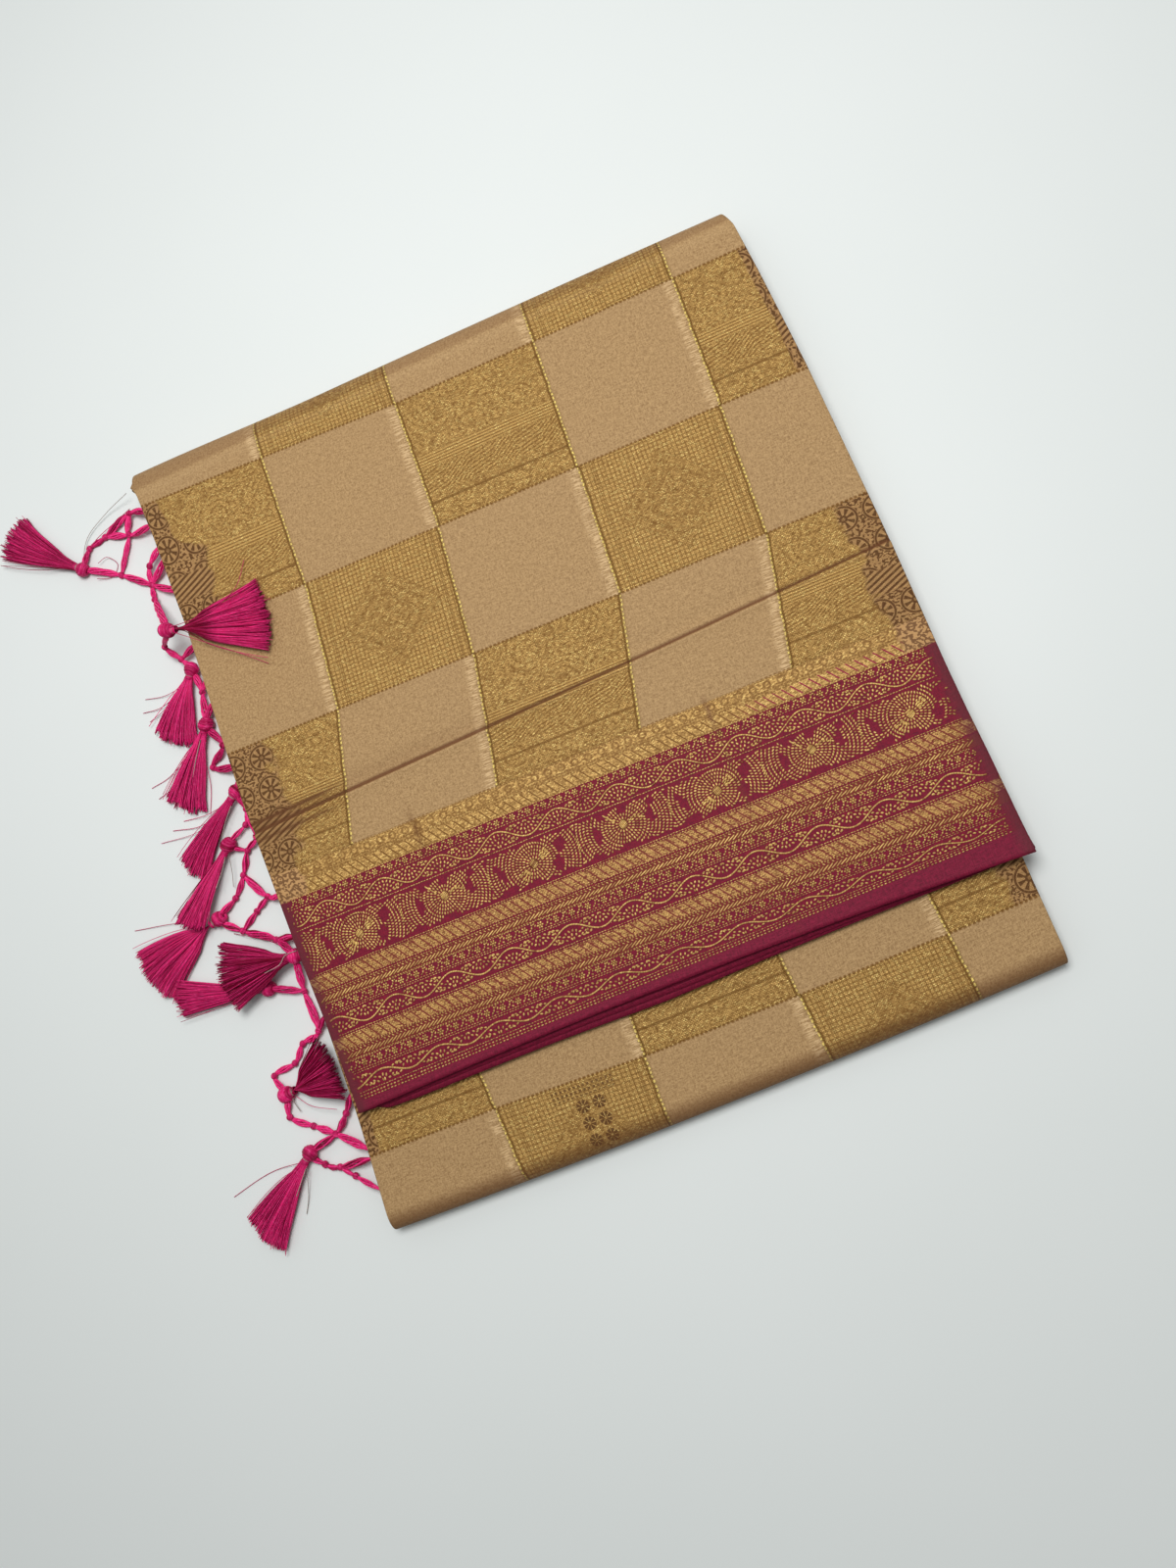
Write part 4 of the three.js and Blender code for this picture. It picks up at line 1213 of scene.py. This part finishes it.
def medallions(floats, low, high):
    """Round flowers and round-bodied birds by turns, built of rings of floats, with open gaps."""
    middle = (low + high) / 2
    centres = []
    for k in range(-2, 4):
        centres.append((FLOWERS + k * MEDALLION_PERIOD, middle - 0.5, FLOWER_GAPS))
        centres.append((BIRDS + k * MEDALLION_PERIOD, middle + 1.2, BIRD_GAPS))
    for cx, cw, gaps in centres:
        for ring in range(19):
            radius = 3.2 + ring * 1.78
            count = int(2 * math.pi * radius / (1.35 if ring < 5 else 1.5))
            for i in range(count):
                turn = 2 * math.pi * (i + 0.5 * (ring % 2)) / count
                x, w = cx + radius * math.cos(turn) * 1.06, cw + radius * math.sin(turn)
                if not low + 0.8 < w < high - 0.8:
                    continue
                nearest = min(centres, key=lambda c: math.hypot(x - c[0], (w - c[1]) * 0.8))
                if nearest[0] != cx or is_open(x - cx, w - cw, gaps):
                    continue
                away = math.hypot(x - cx, w - cw)
                crossed = 0.9 * math.sin(x * 0.31) + 0.5 * math.cos(w * 0.6 + x * 0.17)
                lean = turn if away < 9.5 else turn + crossed
                floats.add(x, w, lean, 2.0 if away < 9.5 else 1.9, 1.0)
        heart(floats, cx, cw, gaps is FLOWER_GAPS)


def is_open(dx, dw, gaps):
    """Whether a place lies in one of the gaps of bare ground round a medallion."""
    for gx, gw, wide, tall, lean in gaps:
        px, pw = dx - gx, dw - gw
        qx = px * math.cos(lean) + pw * math.sin(lean)
        qw = -px * math.sin(lean) + pw * math.cos(lean)
        if (qx / wide) ** 2 + (qw / tall) ** 2 < 1.5:
            return True
    return False


def heart(floats, cx, cw, flower):
    """The solid middle: a hatched disc, with long petals, or with a neck and a tail."""
    for step in np.arange(-1.8, 1.9, 0.72):
        long = 2 * math.sqrt(max(0.2, 2.5**2 - step**2))
        floats.add(cx - step * math.sin(0.55), cw + step * math.cos(0.55), 0.55, long, 0.66, 0.42, STROKE)
    if flower:
        for turn in (0.25, 0.45, 0.65, 3.55, 3.8, 4.05):
            for step in (5.6, 8.6):
                floats.add(cx + step * math.cos(turn), cw + step * math.sin(turn), turn, 3.4, 1.05, 0.42)
    else:
        for step in range(5):
            neck_w = cw + 1.0 + math.sin(step * 0.9) * 1.2
            floats.add(cx + 4.0 + step * 1.5, neck_w, 0.3 + 0.25 * step, 2.4, 1.0, 0.42)
            floats.add(cx - 4.2 - step * 0.9, cw + 3.2 + step, 2.2, 2.8, 0.95, 0.42)


def border():
    """The bands of ornament from the free edge up, each by its W or its lowest and highest W."""
    near, far = Floats(), Floats()
    dotted(near, 8.3)
    dotted(near, 9.6, 1.9, 1.5)
    dotted(near, 10.9, 1.5, 1.5, 0.45)
    vine(near, 11.9, 18.0, 6.0)
    dotted(near, 19.2, 1.5, 1.4, 0.5)
    buds(near, 20.8, 24.2, 3.0)
    chevrons(near, 25.6, 30.2)
    ropes(near, 31.2, 37.4)
    dotted(near, 38.6, 1.5, 1.5, 0.6)
    vine(near, 40.0, 48.4, -9.0)
    dotted(near, 49.4, 1.5, 1.3, 0.5)
    buds(far, 51.0, 54.6, 0.0)
    chevrons(far, 56.0, 60.6)
    ropes(far, 62.2, 69.4)
    dotted(far, 70.5, 1.5, 1.6, 0.6)
    medallions(far, 71.6, 93.4)
    dotted(far, 94.5, 1.5, 1.7, 0.6)
    vine(far, 95.6, 104.6, 3.0)
    buds(far, 106.2, 109.6, 4.0)
    return near.piece("border_zari_near"), far.piece("border_zari_far")


# Fringe

# The net's knots: x, y and height. A tassel's head has the tassel's letter. The lies are the
# heights of a head and of a cord that rest on the table
HEAD_LIE, CORD_LIE = 3.7, 1.4
KNOTS = {
    "a": (-238.9, 66.9, HEAD_LIE),
    "a_curl": (-232.4, 78, CORD_LIE),
    "a_out": (-221.1, 80.7, CORD_LIE),
    "a_up": (-201.5, 86.6, 4),
    "a_mid": (-206, 75.2, 2.5),
    "a_low": (-218, 55.1, CORD_LIE),
    "b_loop": (-198.6, 51.5, 4.5),
    "b_cross": (-201.5, 41.6, 2.5),
    "b_knot": (-201.5, 31.9, 4),
    "b": (-190.1, 3.1, FLAP_TOP + 3.4),
    "b_ring": (-201.4, 1.5, 9),
    "c_up": (-196, -7.5, 5),
    "c": (-191.9, -15.4, 5),
    "c_below": (-190.2, -29.5, 4.2),
    "d": (-193, -47.8, 4.8),
    "d_right": (-187.2, -62.6, 4.6),
    "d_low": (-197.9, -71.2, CORD_LIE),
    "e": (-187.6, -90, 5),
    "e_low": (-185, -100.8, 4.5),
    "e_far": (-184, -117.2, 4.5),
    "f_up": (-188.5, -108.6, 3.4),
    "f": (-200.9, -115.6, HEAD_LIE),
    "f_mid": (-192.1, -122.3, 2.5),
    "f_low": (-198.8, -133.9, CORD_LIE),
    "f_side": (-188.1, -150.1, 3),
    "g_side": (-197.1, -155.2, 1.8),
    "g_up": (-206.8, -144.2, CORD_LIE),
    "g": (-218.5, -152, HEAD_LIE),
    "g_low": (-208.1, -162.4, CORD_LIE),
    "h_up": (-190.5, -173.5, 3.2),
    "h": (-180, -186.1, 9.8),
    "i": (-202.6, -196.5, HEAD_LIE),
    "i_side": (-183.8, -204.4, 3),
    "j_top": (-182.3, -226.7, 3.5),
    "j_arm": (-193.5, -230.1, 2),
    "j_up": (-201, -238.3, CORD_LIE),
    "j_ring": (-214.2, -241, CORD_LIE),
    "j": (-209.6, -252.2, HEAD_LIE),
    "j_bottom": (-212.2, -263.9, CORD_LIE),
    "j_low": (-201, -272.2, CORD_LIE),
    "k_arm": (-180.7, -271.4, 4),
    "k_cross": (-189.8, -279.7, 2.5),
    "k": (-206.2, -284.6, HEAD_LIE),
    "k_mid": (-200.8, -292.6, CORD_LIE),
    "k_low": (-193.3, -296.3, 1.8),
    "k_far": (-186.1, -303, 2.6),
}
# The cords from knot to knot. A number is where a cord comes out of the end piece's edge, by y
CORDS = [
    [81, "a_up", "a_out", "a_curl", "a"],
    ["a_up", "a_mid", 73],
    ["a_out", "a_mid"],
    ["a_mid", "a_low"],
    ["a", "a_low", "b_cross", 29.5],
    [60, "b_loop", "b_cross", "b_knot", "b", "b_ring", "c_up", "c", "c_below", "d"],
    [52, "b_cross"],
    [-3, "c_up"],
    [-23, "c_below"],
    [-37, "d", "d_right", "d_low", -78.3],
    [-84, "e", "e_low", "e_far", "f_mid", "f_low", "g_up", "g", "g_low", "h_up", "h"],
    ["e_low", "f_up", "f", "f_mid"],
    [-122, "e_far"],
    ["f_low", "f_side", -152],
    ["f_side", "g_side", "g_low"],
    [-176, "h_up"],
    ["h", "i_side", "j_top", "j_arm", "j_up", "j_ring", "j", "j_bottom", "j_low", "k_cross", -292],
    ["i", "i_side"],
    [-221, "j_top"],
    [-263, "k_arm", "k_cross", "k", "k_mid", "k_low", -297],
    ["k_low", "k_far", -313],
]
THIN_CORDS = (3, 11, 20)
THREADS_PER_CORD, WRAPS_PER_KNOT = 7, 7
# Each tassel's fan: heading in degrees and length at its left, middle and right, then the turn of its tips,
# how high the tips lie, and how bright its silk is painted; the low values of h and j are painted shade,
# where they lie against the side of the stack.
TASSELS = {
    "a": ((123.5, 52.8), (138.8, 55.9), (152.8, 53.6), -3, 1.3, 0.5),
    "b": ((5.3, 57), (-16.4, 59.3), (-34.2, 60.6), 2, FLAP_TOP + 1.6, 0.88),
    "c": ((-146.5, 39.9), (-126.5, 41.8), (-106.6, 41), 3, 1.3, 0.68),
    "d": ((-143.2, 46.7), (-126.3, 47.6), (-111.7, 47.6), 3, 1.3, 0.7),
    "e": ((-156.2, 47.4), (-144, 50), (-131.7, 50.9), 4, 1.3, 0.58),
    "f": ((-144.5, 48.4), (-134.9, 48), (-123.7, 45.8), 2, 8, 0.62),
    "g": ((-143.8, 51.1), (-165.5, 52.4), (-183.4, 52), 4, 1.3, 0.75),
    "h": ((150.2, 42.1), (176.4, 44.1), (203.4, 42.4), 0, 8.6, 0.22),
    "i": ((156.7, 53.7), (166.7, 54), (178.2, 51.7), 0, 1.3, 0.62),
    "j": ((38.5, 36.9), (6.9, 32.6), (-20.1, 35.6), 0, 9, 0.2),
    "k": ((-156.6, 48.5), (-139.5, 51.3), (-125.9, 51.3), 2, 1.3, 0.55),
}


def side_and_up(path):
    """The directions to the side of a path and up from it, at each of its points."""
    ahead = np.gradient(path, axis=0)
    ahead /= np.linalg.norm(ahead, axis=1)[:, None] + 1e-9
    side = np.cross(ahead, [0, 0, 1.0])
    side[np.linalg.norm(side, axis=1) < 1e-3] = [1, 0, 0]
    side /= np.linalg.norm(side, axis=1)[:, None]
    return side, np.cross(side, ahead)


class Strands:
    """Many thin tubes in one mesh, each with its own tone."""

    def __init__(self, sides):
        self.sides = sides
        self.tubes = []

    def add(self, path, radius, tone):
        """A tube along the path, in the cloth's millimetres. Radius is a number or one for each point."""
        path = np.asarray(path, float)
        self.tubes.append((path, np.broadcast_to(radius, len(path)), tone))

    def piece(self, name, material):
        points, faces, strand, bake, tones = [], [], [], [], []
        start = 0
        around = np.arange(self.sides) / self.sides
        for index, (path, radius, tone) in enumerate(self.tubes):
            side, up = side_and_up(path)
            turns = (around * 2 * math.pi + index)[:, None]
            ring = side[:, None] * np.cos(turns) + up[:, None] * np.sin(turns)
            points.append((path[:, None] + ring * radius[:, None, None]).reshape(-1, 3))
            rows = len(path)
            end = start + rows * self.sides
            faces += grid_faces(rows, self.sides, start, closed=True)
            faces.append(tuple(range(start, start + self.sides)))
            faces.append(tuple(range(end - 1, end - self.sides - 1, -1)))
            length = run_length(path)[:, None]
            strand.append(pairs(length, around + index * 3.7))
            share = length / max(length[-1, 0], 1e-6)
            bake.append(pairs((index + 0.1 + 0.8 * around) / len(self.tubes), 0.01 + 0.98 * share))
            tones += np.broadcast_to(tone, rows).repeat(self.sides).tolist()
            start = end
        places = (np.concatenate(points) + SHIFT) / 1000
        maps = {"OFBake": np.concatenate(bake), "strand": np.concatenate(strand)}
        return make(name, places, faces, maps, {"tone": tones}, material)


def catmull(stops, step=1.5):
    """A smooth path through the stops, with a point at about each step."""
    stops = np.asarray(stops, float)
    ends = np.concatenate([[2 * stops[0] - stops[1]], stops, [2 * stops[-1] - stops[-2]]])
    path = []
    for i in range(1, len(ends) - 2):
        p0, p1, p2, p3 = ends[i - 1 : i + 3]
        count = max(2, int(np.linalg.norm(p2 - p1) / step))
        for t in np.linspace(0, 1, count, endpoint=False):
            curved = (2 * p0 - 5 * p1 + 4 * p2 - p3) * t**2 + (3 * p1 - p0 - 3 * p2 + p3) * t**3
            path.append(0.5 * (2 * p1 + (p2 - p0) * t + curved))
    path.append(stops[-1])
    return np.array(path)


def turned(place, heading, along, aside, up):
    """Places round a given one, from their distances along its heading, beside it and above it."""
    x = place[0] + along * math.cos(heading) - aside * math.sin(heading)
    y = place[1] + along * math.sin(heading) + aside * math.cos(heading)
    return np.stack(np.broadcast_arrays(x, y, place[2] + up), axis=-1)


def wound(name, lap, along, radius, rise, lowest):
    """A path wound round the neck of a tassel, rise times as high as it is wide."""
    heading = math.radians(TASSELS[name][1][0])
    path = turned(KNOTS[name], heading, along, radius * np.cos(lap), radius * rise * np.sin(lap))
    path[:, 2] = np.maximum(path[:, 2], lowest)
    return path


def route(stops):
    """The places a cord runs through, with its root a little inside the end piece."""
    places = []
    for i, stop in enumerate(stops):
        if isinstance(stop, str):
            places.append(KNOTS[stop])
            continue
        edge = float(edges_at(LOWER_EDGES, stop)[0])
        inside, outside = (edge + 2.5, stop, FRINGE_LEVEL), (edge - 2, stop, FRINGE_LEVEL)
        places += [inside, outside] if i == 0 else [outside, inside]
    return np.array(places, float)


def cords():
    """The net: each cord is a bundle of threads, thin at the knots and puffed between them."""
    strands = Strands(6)
    for number, stops in enumerate(CORDS):
        places = route(stops)
        path = catmull(places, 1.4)
        reach = np.min(np.linalg.norm(path[:, None, :] - places[None, :, :], axis=2), axis=1)
        thin = 0.75 if number in THIN_CORDS else 1.0
        puff = (0.5 + 1.15 * smooth(reach / 7.5)) * thin
        side, up = side_and_up(path)
        length = run_length(path)
        shade = 0.56 + 0.2 * dice.random()
        for thread in range(THREADS_PER_CORD):
            turn = 2 * math.pi * thread / THREADS_PER_CORD + number + length / 8.5
            out = puff * (1 + 0.12 * np.sin(length / 5.1 + 2.3 * thread))
            bundle = path + side * (out * np.cos(turn))[:, None] + up * (0.6 * out * np.sin(turn))[:, None]
            bundle[:, 2] = np.maximum(bundle[:, 2], 0.62)
            radius = 0.52 * thin + 0.06 * np.sin(length / 3 + thread)
            strands.add(bundle, radius, np.clip(shade + dice.gauss(0, 0.3), 0, 1))
    return strands.piece("fringe_cords", FRINGE)


def knots():
    """Smooth round knots: large heads above the tassels, and small ones where cords meet."""
    strands = Strands(6)
    lap = np.linspace(0, 2 * math.pi, 30)
    core = np.linspace(-1, 1, 9)
    core_radius = np.sqrt(np.maximum(0.05, 1 - core**2)) * 2.1
    for name, (x, y, z) in KNOTS.items():
        big = name in TASSELS
        size = 1.6 if big else 0.7
        spin = dice.random() * 6.3
        heading = math.radians(TASSELS[name][1][0]) if big else spin
        centre = (x, y, max(z, 2.4 * size))
        strands.add(turned(centre, heading, core * 2 * size, 0, 0), core_radius * size, 0.5)
        for wrap in range(WRAPS_PER_KNOT):
            tilt = (wrap - WRAPS_PER_KNOT // 2) * 0.36 + 0.1 * dice.random()
            radius = math.cos(tilt) * 2.15 * size
            lean = 0.45 * math.sin(spin + wrap * 0.4)
            along = math.sin(tilt) * 2.15 * size + lean * radius * np.sin(lap)
            path = turned(centre, heading, along, radius * np.cos(lap), radius * 0.9 * np.sin(lap))
            strands.add(path, 0.62 * size, np.clip(0.5 + dice.gauss(0, 0.2), 0, 1))
    return strands.piece("fringe_knots", FRINGE)


# Single threads that have come loose, and the pale threads that tie the necks
LOOSE = [
    [(-229.1, 66.9, 3), (-223.3, 68.7, 2), (-218.7, 62.4, 1), (-224.3, 56.7, 1), (-232.8, 59.0, 2)],
    [(-236.0, 70.0, 3), (-228.0, 80.5, 2), (-214.0, 86.0, 2), (-200.0, 88.5, 5)],
    [(-190.1, 3.1, 25.5), (-156.9, -22.7, 23.5), (-141.3, -35.6, 20.9)],
    [(-190.1, 3.1, 26), (-165.0, 2.0, 26.5), (-146.0, 9.0, 24.5), (-137.1, 24.0, 21)],
    [(-199.2, -21.8, 4), (-213.2, -22.1, 1.5), (-225.8, -19.2, 0.5)],
    [(-201.1, -24.0, 4), (-216.8, -27.8, 2), (-229.3, -26.2, 0.5)],
    [(-204.0, -27.0, 4), (-217.7, -30.5, 2), (-226.8, -32.5, 0.5)],
    [(-199.9, -54.1, 4), (-222.3, -65.9, 1), (-236.7, -68.8, 0.5)],
    [(-200.7, -56.7, 4), (-221.2, -72.2, 2), (-234.4, -76.1, 0.5)],
    [(-199.9, -59.9, 4), (-202.3, -79.4, 1), (-207.6, -95.1, 0.5)],
    [(-196.0, -94.5, 5), (-209.7, -95.1, 2), (-223.9, -93.2, 0.5)],
    [(-197.7, -96.1, 5), (-214.2, -99.7, 2), (-231.6, -96.0, 0.5)],
    [(-199.8, -98.8, 5), (-218.1, -102.3, 2), (-240.4, -100.2, 0.5)],
    [(-226.0, -150.7, 5), (-246.0, -145.0, 2), (-269.8, -140.7, 0.5)],
    [(-180.7, -183.9, 11), (-193.0, -173.0, 7), (-213.9, -161.9, 1)],
    [(-204.4, -254.7, 4), (-197.0, -262.2, 5), (-183.9, -268.0, 6)],
    [(-209.4, -287.9, 4), (-226.0, -287.2, 1), (-238.1, -288.7, 0.5), (-255.8, -293.4, 0.5)],
    [(-212.4, -290.0, 4), (-230.0, -300.0, 1), (-247.0, -305.0, 0.5)],
]
TIES = [
    [(-197.9, -55.4, 6.5), (-203.9, -64.7, 6.2), (-209.1, -73.2, 5.0)],
    [(-191.4, -96.7, 7), (-197.2, -103.6, 6.6), (-202.7, -111.2, 5.5)],
    [(-203.0, -122.0, 7.2), (-207.1, -129.3, 7.6), (-212.5, -136.6, 8.6)],
    [(-200.9, -121.1, 7), (-202.8, -130.9, 5.0), (-205.7, -138.2, 2.5)],
    [(-176.5, -184.1, 13.6), (-183.5, -184.4, 13.4), (-188.2, -188.1, 13.2), (-197.4, -189.3, 13)],
    [(-209.5, -291.2, 6.2), (-214.3, -296.9, 5.6), (-219.6, -302.9, 4.6)],
    [(-209.1, -290.5, 5.5), (-214.6, -304.7, 1.5), (-219.0, -313.4, 0.5)],
    [(-204.6, -250.4, 6.4), (-206.8, -256.1, 3.5), (-205.4, -262.9, 2)],
    [(-239.0, 68.0, 3), (-231.8, 84.3, 2), (-215.9, 93.2, 3), (-197.9, 96.4, 8)],
]


def loose_threads():
    strands = Strands(4)
    for stops in LOOSE:
        strands.add(catmull(stops), 0.19, 0.35 + 0.3 * dice.random())
    return strands.piece("fringe_strays", FRINGE)


def tie_threads():
    """Pale thread wound twice round each neck, with its loose ends."""
    strands = Strands(4)
    for stops in TIES:
        strands.add(catmull(stops), 0.24, 0.5)
    lap = np.linspace(0, 2 * 2 * math.pi, 32)
    for name in TASSELS:
        strands.add(wound(name, lap, 3.3 + 0.7 * lap / lap[-1], 2.0, 0.92, 0.4), 0.26, 0.5)
    return strands.piece("tie_threads", TIE)


STRANDS_PER_TASSEL = 400
SKIRT_START = 2.8  # from the knot's middle
ROOT_TONES = {"a": -0.25, "b": -0.95, "c": 0.1, "d": 0.2, "g": 0.1, "k": 0.1}  # beside the rest


def tassel(name):
    """A skirt of threads in locks, spreading from its neck, and the thread wound round the neck."""
    *fan, turn, tip, bright = TASSELS[name]
    headings, lengths = np.array(fan).T
    middle = math.radians(headings[1])
    x0, y0, z0 = KNOTS[name]
    strands = Strands(3)
    q = np.linspace(0, 1, 9)
    neck = 1 - smooth((q - 0.02) / 0.4)
    thick = 1.7 + 1.5 * smooth(q * 1.8)
    root = ROOT_TONES.get(name, -0.1) * (1 - smooth((q - 0.32) / 0.22))
    lowest = FLAP_TOP + 0.4 if name == "b" else 0.36
    for index in range(STRANDS_PER_TASSEL):
        if index % 9 == 0:
            group = dice.gauss(0, 1.0)
        w = 2 * (index + dice.random()) / STRANDS_PER_TASSEL - 1
        w = math.copysign(abs(w) ** 1.12, w)
        layer = dice.random()
        heading = math.radians(np.interp(w, [-1, 0, 1], headings))
        long = np.interp(w, [-1, 0, 1], lengths) + 0.3 + group - abs(dice.gauss(0, 0.8))
        if dice.random() < 0.06:
            heading += dice.gauss(0, 0.07)
            long += dice.random() * 2
        lock = 0.008 * math.sin(w * 17 + x0)
        bend = math.radians(turn) * q**2 + (dice.gauss(0, 0.012) + lock) * np.sin(math.pi * q * 1.2)
        distance = SKIRT_START + (long - SKIRT_START) * q
        angle = (heading + bend) * (1 - neck) + (middle + (heading - middle) * 0.45) * neck
        lift = (layer - 0.5) * 2 * thick * 0.6 * math.sqrt(max(0.1, 1 - 0.8 * w * w))
        aside = w * 1.55 * neck
        x = x0 + distance * np.cos(angle) - aside * math.sin(middle)
        y = y0 + distance * np.sin(angle) + aside * math.cos(middle)
        z = z0 + (tip + 1.5 - z0) * q + lift + dice.gauss(0, 0.15) * np.sin(math.pi * q)
        z = np.maximum(z, lowest + 0.6 * layer * q)
        # strands lying lower in the skirt are painted darker: painted shade under the upper strands
        tone = bright + dice.gauss(0, 0.3) + 0.15 * (layer - 0.5) + root
        radius = np.interp(q, [0, 0.3, 1], [0.25, 0.23, 0.18])
        strands.add(np.stack([x, y, z], axis=-1), radius, np.clip(tone, 0, 1))
    lap = np.linspace(0, 6 * 2 * math.pi, 84)
    along = 3.0 + 2.6 * lap / lap[-1]
    strands.add(wound(name, lap, along, 1.75 + 0.3 * along / 5.6, 0.9, 0.5), 0.36, bright * 0.85)
    return strands.piece("tassel_skirt_" + name, FRINGE)


skirts = {name: tassel(name) for name in TASSELS}
flap = flap_cloth()
lower = lower_cloth()
layers = folded_layers()
ending = end_piece_cloth()
zari_near, zari_far = border()
net_cords = cords()
net_knots = knots()
strays = loose_threads()
ties = tie_threads()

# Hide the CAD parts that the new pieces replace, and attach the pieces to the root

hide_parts("flap_wall")
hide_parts("lower_wall")
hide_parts("hidden_layers")
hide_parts("end_piece")
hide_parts("fringe_net")
for name, skirt in skirts.items():
    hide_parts("tassel_" + name)
slots = {
    "tan_silk": [flap, lower],
    "magenta_silk": [layers, ending, zari_near, zari_far],
    "fringe_silk": [net_cords, net_knots, strays, ties, *skirts.values()],
}
for slot, pieces in slots.items():
    for piece in pieces:
        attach(piece, "root")

# Stage, light and camera

bpy.ops.mesh.primitive_plane_add(size=6, location=(0, 0, 0))
floor = bpy.context.object
floor.name = "table"
floor.data.materials.append(table_top())

PANEL_PLACE, PANEL_AIM = Vector((0.09, 0.21, 1.0)), Vector((0.09, 0.2, 0))
panel = bpy.data.lights.new("ceiling panel", "AREA")
panel.shape = "DISK"
panel.size = 0.5
panel.energy = 8.2
panel.color = (1.0, 1.0, 0.99)
light = bpy.data.objects.new("ceiling panel", panel)
light.location = PANEL_PLACE
light.rotation_euler = (PANEL_AIM - PANEL_PLACE).to_track_quat("-Z", "Y").to_euler()
bpy.context.collection.objects.link(light)

# The room is brighter on the far side
surroundings = bpy.data.worlds.new("room")
surroundings.use_nodes = True
room = surroundings.node_tree
sky = room.nodes.new("ShaderNodeTexCoord").outputs["Generated"]
split = room.nodes.new("ShaderNodeSeparateXYZ")
room.links.new(sky, split.inputs[0])
toward = Number(room, split.outputs[1]) * 0.3 - Number(room, split.outputs[0]) * 0.1
overhead = Number(room, split.outputs[2]).most(0.0)
join(room, (toward + overhead * 0.42 + 0.1).most(0.05), room.nodes["Background"].inputs["Strength"])
room.nodes["Background"].inputs["Color"].default_value = (0.95, 0.985, 0.985, 1)
bpy.context.scene.world = surroundings
bpy.context.scene.view_settings.view_transform = "Standard"

turn_x, turn_y, turn_z = (math.radians(a) for a in CAMERA_TURNS)
to_camera = Matrix.Rotation(turn_z, 4, "Z") @ Matrix.Rotation(turn_y, 4, "Y")
to_camera = to_camera @ Matrix.Rotation(turn_x, 4, "X")
lens = bpy.data.cameras.new("camera")
lens.lens = CAMERA_LENS
lens.sensor_width = 36
camera = bpy.data.objects.new("camera", lens)
camera.matrix_world = Matrix.Translation(CAMERA_PLACE) @ to_camera.transposed()
bpy.context.collection.objects.link(camera)
bpy.context.scene.camera = camera
